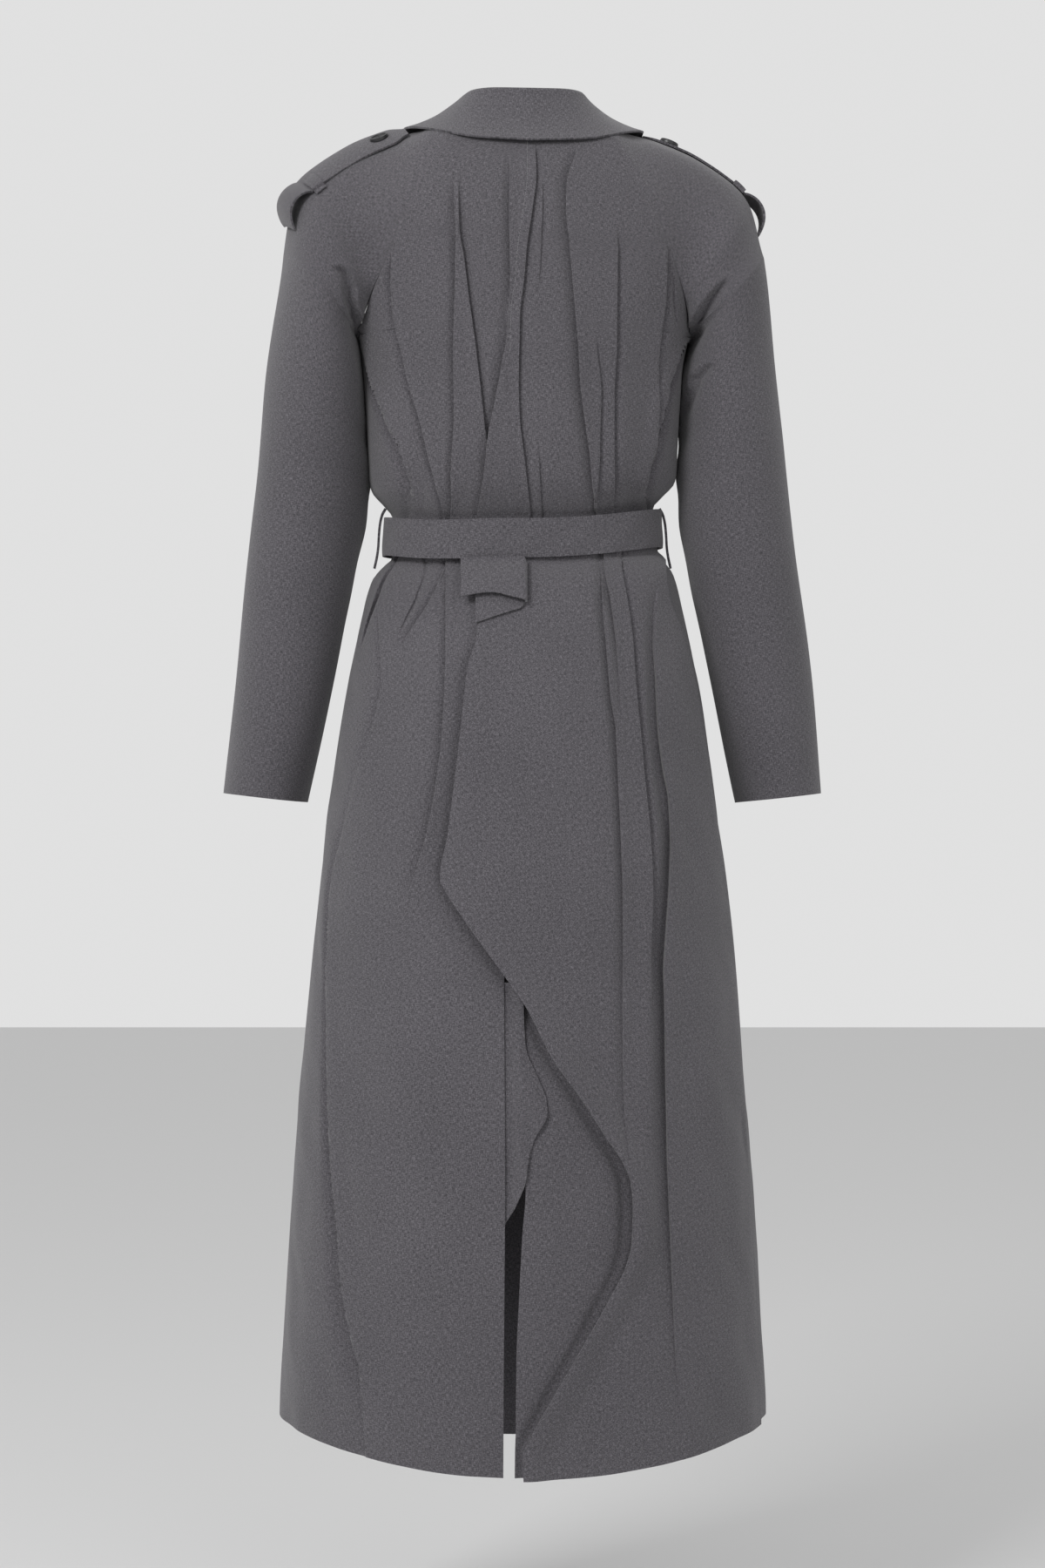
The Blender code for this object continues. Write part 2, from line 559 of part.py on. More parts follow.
def sheet(name, grid, wall=WALL, closed=False, flipped=False):
    """A cloth piece: a grid of points on its outer face, rows downwards and columns to the right as
    seen from outside, given its thickness inwards."""
    grid = np.asarray(grid, float)
    if flipped:
        grid = grid[:, ::-1]
    rows, columns = grid.shape[:2]
    mesh = bpy.data.meshes.new(name)
    shape = bmesh.new()
    points = [[shape.verts.new(grid[i, j]) for j in range(columns)] for i in range(rows)]
    for i in range(rows - 1):
        for j in range(columns - 1):
            shape.faces.new((points[i][j], points[i + 1][j], points[i + 1][j + 1], points[i][j + 1]))
    if closed:
        bmesh.ops.remove_doubles(shape, verts=shape.verts, dist=0.00005)
    bmesh.ops.triangulate(shape, faces=shape.faces)
    shape.to_mesh(mesh)
    shape.free()
    piece = bpy.data.objects.new(name, mesh)
    solidify = piece.modifiers.new("cloth", "SOLIDIFY")
    solidify.thickness = wall
    solidify.offset = -1
    return finish(piece, CLOTH)


def finish(piece, material):
    """Puts a finished piece into the coat's collection with its material."""
    if not piece.data.materials:
        piece.data.materials.append(material)
    for owner in piece.users_collection:
        owner.objects.unlink(piece)
    COAT.objects.link(piece)
    return piece


def filled(targets, fills, first, last):
    """The targets with columns just inside both edges, and more of them between the folds."""
    inset = min(SEAM_COLUMN, (last - first) * 0.04)
    groups = [[first + inset]] + [list(targets[k:k + 3]) for k in range(0, len(targets), 3)]
    groups.append([last - inset])
    everything = list(groups[0])
    for fill, group in zip(fills, groups[1:]):
        start, end = everything[-1], group[0]
        everything += [start + (end - start) * (k + 1) / (fill + 1) for k in range(fill)]
        everything += group
    return np.maximum.accumulate(everything)


def back_panel(name, folds, fills, left_edge, right_edge):
    """A half of the back, from the neck seam to the hem, between two edges."""
    grid = []
    for level in BACK_LEVELS:
        section = Section(level)
        first, last = left_edge(section), right_edge(section)
        ways = spread(filled(fold_targets(section, folds), fills, first, last), first, last)
        heights = fold_height(section, ways)
        if level > BELT_LEVEL:
            # the centre back seam lies in a slight, flat groove
            seam = section.where_seen(FOLDS["centre"]["rows"], FOLD_COLUMNS) - CENTRE_SEAM_INSET
            near = 1 - fade(np.abs(ways - seam), SEAM_COLUMN, SEAM_COLUMN * 1.6)
            heights = heights * (1 - near) - CENTRE_SEAM_GROOVE * near
        grid.append(section.at(ways, heights))
    return sheet(name, grid)


def make_backs():
    half_gap = SEAM_GAP / 2

    def centre(section, edge):
        if section.level > BELT_LEVEL:
            return section.where_seen(FOLDS["centre"]["rows"], FOLD_COLUMNS) - CENTRE_SEAM_INSET
        return section.where_seen(edge, EDGE_COLUMNS)

    back_panel(
        "back_left",
        ("left_side", "left_blade", "left_inner", "left_pleat", "left_centre"),
        (1, 1, 1, 0, 1, 1),
        lambda section: -section.back_edge + half_gap,
        lambda section: centre(section, LEFT_VENT_EDGE) - half_gap,
    )
    back_panel(
        "back_right",
        ("centre", "right_inner", "right_middle", "right_blade", "right_side"),
        (0, 1, 1, 1, 1, 1),
        lambda section: centre(section, RIGHT_VENT_EDGE) + half_gap,
        lambda section: section.back_edge - half_gap,
    )


def wrap_offset(level, side):
    return float(by_level(OVER_WRAP, OVER_WRAP_COLUMNS, "offset", level)) if side > 0 else 0.0


def front_grid(side):
    """A front from its side seam, and raglan seam, to its edge past the middle."""
    grid = []
    for level in FRONT_LEVELS:
        section = Section(level)
        first = section.front_edge + SEAM_GAP / 2
        past = float(by_level(FRONT_EDGE, FRONT_EDGE_COLUMNS, "past_middle", level))
        last = section.front_way(-past)
        ways = first + (last - first) * np.array(FRONT_SHARES)
        out = wrap_offset(level, side) * fade(ways, section.front_way(0.120), section.front_way(0.085))
        if side < 0:
            ways = -ways
        grid.append(section.at(ways, out))
    grid = np.array(grid)
    return grid if side > 0 else grid[:, ::-1]


def make_fronts():
    sheet("front_left", front_grid(-1))
    sheet("front_right", front_grid(1))


def lapel_grid(side):
    """A lapel, from the front's edge back over the front, lying just off it."""
    grid = []
    levels = [row[0] for row in LAPEL]
    levels += [level for level in FRONT_LEVELS if levels[-1] < level < -0.115]
    for level in sorted(levels, reverse=True):
        section = Section(level)
        past = float(by_level(FRONT_EDGE, FRONT_EDGE_COLUMNS, "past_middle", level))
        width = float(by_level(LAPEL, LAPEL_COLUMNS, "width", level))
        edge = section.front_way(-past) - 0.0010
        ways = edge - width * np.array((1.0, 0.75, 0.5, 0.25, 0.0))
        out = np.full(ways.shape, wrap_offset(level, side) + WALL + LAPEL_LIFT)
        if side < 0:
            ways = -ways
        grid.append(section.at(ways, out))
    grid = np.array(grid)
    return grid if side > 0 else grid[:, ::-1]


def make_lapels():
    sheet("lapel_left", lapel_grid(-1))
    sheet("lapel_right", lapel_grid(1))


def make_drape():
    """The over-panel of the back skirt. Its free edge stands off the cloth under it."""
    grid = []
    for level in DRAPE_LEVELS:
        section = Section(level)
        first = section.where_seen(DRAPE_EDGE, EDGE_COLUMNS)
        last = section.where_seen(DRAPE_SIDE_EDGE, EDGE_COLUMNS)
        span = last - first
        targets = fold_targets(section, ("right_inner", "right_middle"))
        ways = spread(filled(targets, (3, 1, 2), first, last), first, last)
        held = 1 - fade(ways - first, span * 0.55, span)
        standing = DRAPE_STANDING * fade(level, -0.42, -0.75) * held
        free_edge = 1 - fade(ways - first, 0.0, 0.035)
        lifted = DRAPE_LIFTED * free_edge * fade(level, -0.68, -0.75)
        offset = DRAPE_OFFSET + standing + lifted
        folds = fold_height(section, ways)
        if level < -0.85:
            folds *= fade(ways - first, 0.004, 0.020)
        grid.append(section.at(ways, offset + folds))
    sheet("drape_panel", grid)


def make_underlap():
    """The wavy underlap that shows in the vent, behind the left panel and over the right one."""
    grid = []
    for level in np.linspace(-0.800, -1.046, 14):
        section = Section(level)
        first = section.where_seen(UNDERLAP_INNER, EDGE_COLUMNS)
        last = section.where_seen(UNDERLAP_EDGE, EDGE_COLUMNS)
        shares = np.array((0.0, 0.25, 0.5, 0.75, 1.0))
        ways = first + (last - first) * shares
        left_edge = section.where_seen(LEFT_VENT_EDGE, EDGE_COLUMNS)
        rising = fade(ways - left_edge, 0.002, 0.016)
        under = -WALL - UNDERLAP_CLEARANCE
        over = WALL + UNDERLAP_CLEARANCE
        grid.append(section.at(ways, under + (over - under) * rising))
    sheet("vent_underlap", grid)


def make_belt():
    grid = []
    turns = np.linspace(-1, 1, 53)
    for share in (0.5, 0.0, -0.5):
        section = Section(BELT_LEVEL + share * BELT_HEIGHT)
        half_round = np.interp(np.pi, section.TURN, section.way)
        grid.append(section.at(turns * half_round, BELT_OFFSET))
    sheet("belt", grid, wall=BELT_WALL, closed=True)


def arc(start, top, end, start_way, end_way, start_pull, end_pull, top_pull):
    """Half rings from a back point over the top to a front point, as two smooth curves."""
    half = SLEEVE_SIDES // 2
    back = np.array((0, -1, 0.0))
    t = np.linspace(0, 1, half + 1)[:, None]

    def curve(a, b, c, d):
        return (1 - t) ** 3 * a + 3 * t * (1 - t) ** 2 * b + 3 * t * t * (1 - t) * c + t ** 3 * d

    first = curve(start, start + start_way * start_pull, top + back * top_pull, top)
    second = curve(top, top - back * top_pull, end + end_way * end_pull, end)
    return np.concatenate([first, second[1:]])


def body_side(level, side):
    """A point of the raglan seam before the twist, and the body's outward normal there."""
    half_width = float(by_level(BODY, BODY_COLUMNS, "half_width", level))
    power = float(by_level(BODY, BODY_COLUMNS, "power", level))
    name = "back_depth" if side < 0 else "front_depth"
    depth = float(by_level(BODY, BODY_COLUMNS, name, level))
    reach = min(float(by_level(RAGLAN, RAGLAN_COLUMNS, "reach", level)), half_width)
    share = reach / half_width
    y = depth * max(1 - share ** power, 0) ** (1 / power)
    near_neck = float(fade(level, -0.06, NECK_LEVEL))
    lift = NECK_LIFT * near_neck * (reach / 0.07) ** 2 if side < 0 else 0
    normal = np.array((share ** (power - 1) / half_width, side * (y / depth) ** (power - 1) / depth, 0))
    below = float(by_level(BODY, BODY_COLUMNS, name, level - 0.01))
    normal[2] = (below - depth) / 0.01 * abs(normal[1])
    return np.array((reach, side * y, level + lift)), normal / np.linalg.norm(normal)


def sleeve_ring(s):
    """One ring of the right sleeve. s is 0 at the neck, 1 at the underarm, 2 at the cuff."""
    if s >= 1:
        rows = np.linspace(1, 2, len(SLEEVE))
        inner_x, inner_z, outer_x, outer_z, half_depth, middle = (
            float(smooth(rows, column(SLEEVE, SLEEVE_COLUMNS, name), s)) for name in SLEEVE_COLUMNS
        )
        start = np.array((inner_x, middle, inner_z))
        top = np.array((outer_x, middle, outer_z))
        pull = half_depth * ROUND_PULL
        back = np.array((0, -1, 0.0))
        return arc(start, top, start, back, -back, pull, pull, pull)
    way = ridge_way() / ridge_length()
    top_x = float(smooth(way, column(RIDGE, RIDGE_COLUMNS, "x"), s))
    top_z = float(smooth(way, column(RIDGE, RIDGE_COLUMNS, "z"), s))
    top = np.array((top_x, 0, top_z))
    ends = []
    for side, highest in ((-1, NECK_LEVEL), (1, FRONT_NECK_LEVEL)):
        level = highest + (UNDERARM_LEVEL - highest) * s
        seam, normal = body_side(level, side)
        to_top = top - seam
        flat = to_top - normal * float(to_top @ normal)
        flat /= np.linalg.norm(flat)
        share = float(fade(s, 0.55, 1.0))
        way_out = flat * (1 - share) + np.array((0, side, 0.0)) * share
        way_out /= np.linalg.norm(way_out)
        fullness = NECK_FULLNESS + (HEAD_FULLNESS - NECK_FULLNESS) * float(fade(s, 0.0, 0.35))
        at_underarm = ROUND_PULL * max(SLEEVE_HEAD_DEPTH - abs(seam[1]), 0.0)
        pull = fullness * np.linalg.norm(to_top) * (1 - share) + at_underarm * share
        gap = SEAM_GAP + NECK_SEAM_EXTRA * (1 - float(fade(s, 0.0, 0.2)))
        seam = seam + way_out * gap + np.array((SEAM_GAP * share * 4, 0, 0))
        ends.append((seam, way_out, pull))
    (start, start_way, start_pull), (end, end_way, end_pull) = ends
    top_pull = RIDGE_FULLNESS * abs(start[1]) * (1 - s) + SLEEVE_HEAD_DEPTH * ROUND_PULL * s
    return arc(start, top, end, start_way, end_way, start_pull, end_pull, top_pull)


def mirrored(grid):
    return np.asarray(grid) * np.array((-1, 1, 1))


def make_sleeves():
    stations = list(RAGLAN_SHARES) + list(np.linspace(1, 2, len(SLEEVE)))[1:]
    grid = np.array([sleeve_ring(s) for s in stations])
    sheet("sleeve_right", twisted(grid), closed=True)
    sheet("sleeve_left", twisted(mirrored(grid)), closed=True, flipped=True)


def collar_row(values):
    """Points across the collar: up the stand, over the roll, down the fall to its edge."""
    seam, roll, edge = (np.array(values[k:k + 3]) for k in (0, 3, 6))
    out = edge - roll
    out[2] = 0
    out /= np.linalg.norm(out)
    down = np.array((0, 0, -1.0))
    fall = edge - roll
    dip = np.cross(np.cross(fall, down), fall)
    dip /= np.linalg.norm(dip)
    return [
        seam,
        seam * 0.5 + roll * 0.5,
        roll - out * COLLAR_TURN * 0.9 + down * COLLAR_TURN * 1.6,
        roll - out * COLLAR_TURN * 0.4,
        roll + out * COLLAR_TURN * 0.7 + down * COLLAR_TURN * 0.3,
        roll + fall * 0.20 + dip * COLLAR_HOLLOW * 0.4,
        roll + fall * 0.50 + dip * COLLAR_HOLLOW,
        roll + fall * 0.78 + dip * COLLAR_HOLLOW * 0.7,
        edge,
    ]


def make_collar():
    half = []
    count = (len(COLLAR) - 1) * COLLAR_STEPS + 1
    places = np.arange(len(COLLAR), dtype=float)
    for at in np.linspace(0, len(COLLAR) - 1, count):
        values = [float(smooth(places, [row[k] for row in COLLAR], at)) for k in range(9)]
        half.append(collar_row(values))
    half = np.array(half)
    whole = np.concatenate([mirrored(half)[:0:-1], half])
    grid = twisted(whole).transpose(1, 0, 2)
    sheet("collar", grid, wall=COLLAR_WALL)


def ridge_way():
    """The distance along the sleeve head's top to each row of its table."""
    ridge_x = column(RIDGE, RIDGE_COLUMNS, "x")
    ridge_z = column(RIDGE, RIDGE_COLUMNS, "z")
    return np.concatenate([[0], np.cumsum(np.hypot(np.diff(ridge_x), np.diff(ridge_z)))])


def ridge_length():
    return float(ridge_way()[-1])


def ridge_share(x):
    """How far along the sleeve head, from 0 at the neck to 1, its top has reached x."""
    return float(np.interp(x, column(RIDGE, RIDGE_COLUMNS, "x"), ridge_way() / ridge_length()))


def over_sleeve(s, across, offset):
    """Points over the sleeve's top, at distances across it, moved out by the offset."""
    ring = sleeve_ring(s)
    beyond = sleeve_ring(s + 0.02)
    steps = np.linalg.norm(np.diff(ring, axis=0), axis=1)
    way = np.concatenate([[0], np.cumsum(steps)])
    way -= way[SLEEVE_SIDES // 2]
    points = np.stack([np.interp(across, way, ring[:, k]) for k in range(3)], axis=-1)
    lower = np.stack([np.interp(across, way, beyond[:, k]) for k in range(3)], axis=-1)
    along = np.gradient(points, axis=0)
    normals = np.cross(lower - points, along)
    normals /= np.linalg.norm(normals, axis=1)[:, None]
    return points + normals * np.asarray(offset)[..., None]


def strap_grid(backward):
    start, band, end = (ridge_share(x) for x in (STRAP_START, STRAP_BAND_X, STRAP_END))
    length = STRAP_BAND_LENGTH / ridge_length()
    band_end = band + length * (1 - BAND_INWARD) * 4 / 3    # just past the band
    half = STRAP_WIDTH / 2
    grid = []
    for s in np.concatenate([np.linspace(start, band_end, 6), np.linspace(band_end, end, 8)[1:]]):
        tip = 1 - float(fade(s, start, start + STRAP_TIP_LENGTH))
        width = half * (1 - (1 - STRAP_TIP_WIDTH) * tip)
        across = width * np.array(STRAP_ACROSS) - backward
        past_band = np.clip((s - band_end) / (end - band_end), 0, 1)
        bow = STRAP_BOW * float(np.sin(np.pi * past_band) ** STRAP_BOW_ROUNDNESS)
        grid.append(over_sleeve(s, across, np.full(len(across), STRAP_OFFSET + bow)))
    return np.array(grid)


def band_grid(backward):
    band = ridge_share(STRAP_BAND_X)
    length = STRAP_BAND_LENGTH / ridge_length()
    grid = []
    across = np.array(BAND_ACROSS) * STRAP_WIDTH / 2 - backward
    offsets = BAND_LIFT + BAND_WALL + STRAP_OFFSET * np.array(BAND_OVER)
    for s in np.linspace(band - length * BAND_INWARD, band + length * (1 - BAND_INWARD), 3):
        grid.append(over_sleeve(s, across, offsets))
    return np.array(grid)


def make_shoulder_straps():
    for name, make_grid, wall in (
        ("shoulder_strap", strap_grid, STRAP_WALL), ("strap_band", band_grid, BAND_WALL),
    ):
        sheet(name + "_right", twisted(make_grid(STRAP_BACKWARD_RIGHT)), wall)
        sheet(name + "_left", twisted(mirrored(make_grid(STRAP_BACKWARD_LEFT))), wall, flipped=True)


def make_strap_buttons():
    """Flat round buttons with a raised rim, turned from a profile, on the straps."""
    s = ridge_share(BUTTON_X)
    radius = BUTTON_DIAMETER / 2
    rim = BUTTON_HEIGHT
    profile = (
        (0.0, rim * 0.70), (radius * 0.72, rim * 0.70), (radius * 0.80, rim),
        (radius * 0.94, rim * 0.95), (radius, rim * 0.60), (radius * 0.90, 0.0), (0.0, 0.0),
    )
    for side, backward in ((1, STRAP_BACKWARD_RIGHT), (-1, STRAP_BACKWARD_LEFT)):
        across = np.array((-BUTTON_DIAMETER / 2, 0, BUTTON_DIAMETER / 2)) - backward
        seat = over_sleeve(s, across, np.full(3, STRAP_OFFSET))
        further = over_sleeve(s + 0.04, across, np.full(3, STRAP_OFFSET))
        normal = np.cross(further[1] - seat[1], seat[2] - seat[0])
        normal /= np.linalg.norm(normal)
        mesh = bpy.data.meshes.new("strap_button")
        shape = bmesh.new()
        points = [shape.verts.new((x, 0, z)) for x, z in profile]
        for a, b in zip(points, points[1:]):
            shape.edges.new((a, b))
        shape.to_mesh(mesh)
        shape.free()
        name = "strap_button_right" if side > 0 else "strap_button_left"
        button = bpy.data.objects.new(name, mesh)
        screw = button.modifiers.new("turned", "SCREW")
        screw.steps = 16
        screw.render_steps = 16
        screw.use_merge_vertices = True
        screw.merge_threshold = 0.00001
        way_up = np.array((normal[0] * side, normal[1], normal[2]))
        place = np.array((seat[1][0] * side, seat[1][1], seat[1][2])) + way_up * BUTTON_LIFT
        tip = twisted(np.array([[place, place + way_up]]))[0]
        direction = tip[1] - tip[0]
        button.location = tip[0]
        button.rotation_mode = "QUATERNION"
        button.rotation_quaternion = Vector(direction.tolist()).to_track_quat("Z", "Y")
        finish(button, BUTTON)


def make_belt_carriers():
    """Thin strips at the side seams that stand out round the belt."""
    xs = column(CARRIER, CARRIER_COLUMNS, "x")
    zs = column(CARRIER, CARRIER_COLUMNS, "z")
    across = np.array((-0.5, 0, 0.5)) * CARRIER_WIDTH
    grid = np.array([[(x, y, z) for y in across] for x, z in zip(xs, zs)])
    for name, side in (("belt_carrier_right", 1), ("belt_carrier_left", -1)):
        points = grid * np.array((side, 1, 1))
        sheet(name, points, wall=CARRIER_WALL, flipped=side < 0)


def make_back_tab():
    """The folded tab under the belt, lying on the top of the back skirt."""
    grid = []
    for share in np.linspace(0, 1, TAB_ROWS):
        row = []
        for x, offset, top, bottom in TAB:
            section = Section(top + (bottom - top) * share)
            back = np.abs(section.TURN) < np.pi / 2
            way = np.interp(x, section.points[back, 0], section.way[back])
            row.append(section.at([way], [offset])[0])
        grid.append(row)
    sheet("back_tab", grid, wall=TAB_WALL)


def make_knot_and_ends():
    """The belt's plain knot at the front and its two hanging ends."""
    section = Section(BELT_LEVEL)
    middle = section.at([section.front_way(KNOT_X)], [BELT_OFFSET + KNOT_OFFSET])[0]
    bpy.ops.mesh.primitive_cube_add(size=1, location=middle.tolist())
    knot = bpy.context.object
    knot.name = "belt_knot"
    knot.data.name = "belt_knot"
    for vertex in knot.data.vertices:
        vertex.co.x *= KNOT_SIZE[0]
        vertex.co.y *= KNOT_SIZE[1]
        vertex.co.z *= KNOT_SIZE[2]
    rounding = knot.modifiers.new("soft", "BEVEL")
    rounding.width = KNOT_ROUNDING
    rounding.segments = 3
    finish(knot, CLOTH)

    for name, lean, length, offset in ENDS:
        grid = []
        for share in np.linspace(0, 1, 10):
            section = Section(END_TOP - share * length)
            x = KNOT_X + lean * (0.35 + share)
            width = BELT_HEIGHT * (0.8 + 0.2 * min(share * 4, 1))
            ways = [section.front_way(x + width * k) for k in (0.5, 0.17, -0.17, -0.5)]
            grid.append(section.at(ways, np.full(4, offset)))
        sheet(name, grid, wall=END_WALL)


for old in list(bpy.data.objects):
    bpy.data.objects.remove(old)

COAT = bpy.data.collections.new("belted_trench_coat")
bpy.context.scene.collection.children.link(COAT)
CLOTH = make_material("grey_wool_suiting", CLOTH_COLOUR, 0.92)
BUTTON = make_material("dark_button_resin", BUTTON_COLOUR, 0.45)

make_backs()
make_fronts()
make_lapels()
make_drape()
make_underlap()
make_sleeves()
make_collar()
make_shoulder_straps()
make_strap_buttons()
make_belt()
make_belt_carriers()
make_knot_and_ends()
make_back_tab()
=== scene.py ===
import math

import bmesh
import bpy
import numpy as np
from mathutils import Matrix, Vector


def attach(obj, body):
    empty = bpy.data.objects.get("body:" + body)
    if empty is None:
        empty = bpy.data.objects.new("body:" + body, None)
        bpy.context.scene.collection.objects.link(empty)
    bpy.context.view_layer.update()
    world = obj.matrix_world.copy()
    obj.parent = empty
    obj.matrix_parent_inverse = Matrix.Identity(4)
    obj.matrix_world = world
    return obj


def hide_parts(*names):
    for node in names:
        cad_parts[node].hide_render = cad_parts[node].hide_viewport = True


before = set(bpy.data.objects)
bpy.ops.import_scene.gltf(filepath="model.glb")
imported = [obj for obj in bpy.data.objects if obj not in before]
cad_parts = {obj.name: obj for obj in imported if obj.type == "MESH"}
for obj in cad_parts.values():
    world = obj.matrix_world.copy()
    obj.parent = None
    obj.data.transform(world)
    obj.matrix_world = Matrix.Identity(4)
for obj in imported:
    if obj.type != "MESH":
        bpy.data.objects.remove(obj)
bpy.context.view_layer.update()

# The coat's own sizes, in metres. Its back faces -Y and the wearer's left is -X.
coat = {
    "wall": 0.0015,
    "seamGap": 0.00004,
    "underarm": -0.190,
    "belt": -0.3735,          # middle of the belt at the side seams
    "beltHeight": 0.037,
    "beltDroop": 0.0150,      # at the middle of the back
    "beltTilt": 0.0080,       # lower at the wearer's left
    "neck": 0.0020,
    "frontNeck": -0.0120,
    "neckLift": 0.0100,
    "hem": -1.2325,           # at the side seams
    "hemDroopBack": 0.0268,
    "hemDroopFront": 0.0520,
    "hemPower": 2.6,
    "twist": 5.5,             # degrees that the shoulders are turned on the skirt
    "grooveDepth": 0.0004,    # the cloth dips beside a seam
    "grooveWidth": 0.0030,
}

# The photograph's eye point: fold lines are given as it sees them on the plane of the side seams
eye = {"distance": 3.5, "level": -0.622, "frameHeight": 1.53}

bodyColumns = ("level", "halfWidth", "back", "front", "power")
bodyRows = (
    (0.022, 0.122, 0.045, 0.030, 2.2),
    (0.002, 0.136, 0.067, 0.050, 2.2),
    (-0.010, 0.150, 0.086, 0.062, 2.2),
    (-0.030, 0.170, 0.097, 0.080, 2.2),
    (-0.060, 0.187, 0.107, 0.098, 2.2),
    (-0.100, 0.190, 0.115, 0.112, 2.2),
    (-0.150, 0.175, 0.121, 0.122, 2.2),
    (-0.190, 0.1622, 0.123, 0.126, 2.2),
    (-0.225, 0.1558, 0.124, 0.126, 2.2),
    (-0.260, 0.1533, 0.124, 0.125, 2.2),
    (-0.300, 0.1511, 0.122, 0.120, 2.2),
    (-0.318, 0.1499, 0.118, 0.115, 2.2),
    (-0.329, 0.1478, 0.114, 0.109, 2.2),
    (-0.345, 0.1335, 0.102, 0.097, 2.2),
    (-0.3535, 0.127, 0.093, 0.091, 2.2),
    (-0.3935, 0.127, 0.093, 0.091, 2.2),
    (-0.403, 0.136, 0.101, 0.097, 2.2),
    (-0.418, 0.147, 0.112, 0.105, 2.2),
    (-0.452, 0.156, 0.126, 0.112, 2.1),
    (-0.520, 0.170, 0.142, 0.122, 2.1),
    (-0.588, 0.181, 0.152, 0.129, 2.1),
    (-0.656, 0.190, 0.160, 0.134, 2.1),
    (-0.792, 0.205, 0.174, 0.141, 2.1),
    (-0.928, 0.2175, 0.187, 0.147, 2.1),
    (-1.064, 0.2275, 0.198, 0.152, 2.1),
    (-1.200, 0.2350, 0.207, 0.156, 2.1),
    (-1.260, 0.2370, 0.210, 0.158, 2.1),
)
raglanColumns = ("level", "reach")
raglanRows = (
    (0.012, 0.065), (0.000, 0.069), (-0.012, 0.075), (-0.045, 0.098), (-0.070, 0.115),
    (-0.097, 0.129), (-0.130, 0.141), (-0.150, 0.149), (-0.168, 0.155), (-0.190, 0.1622),
)

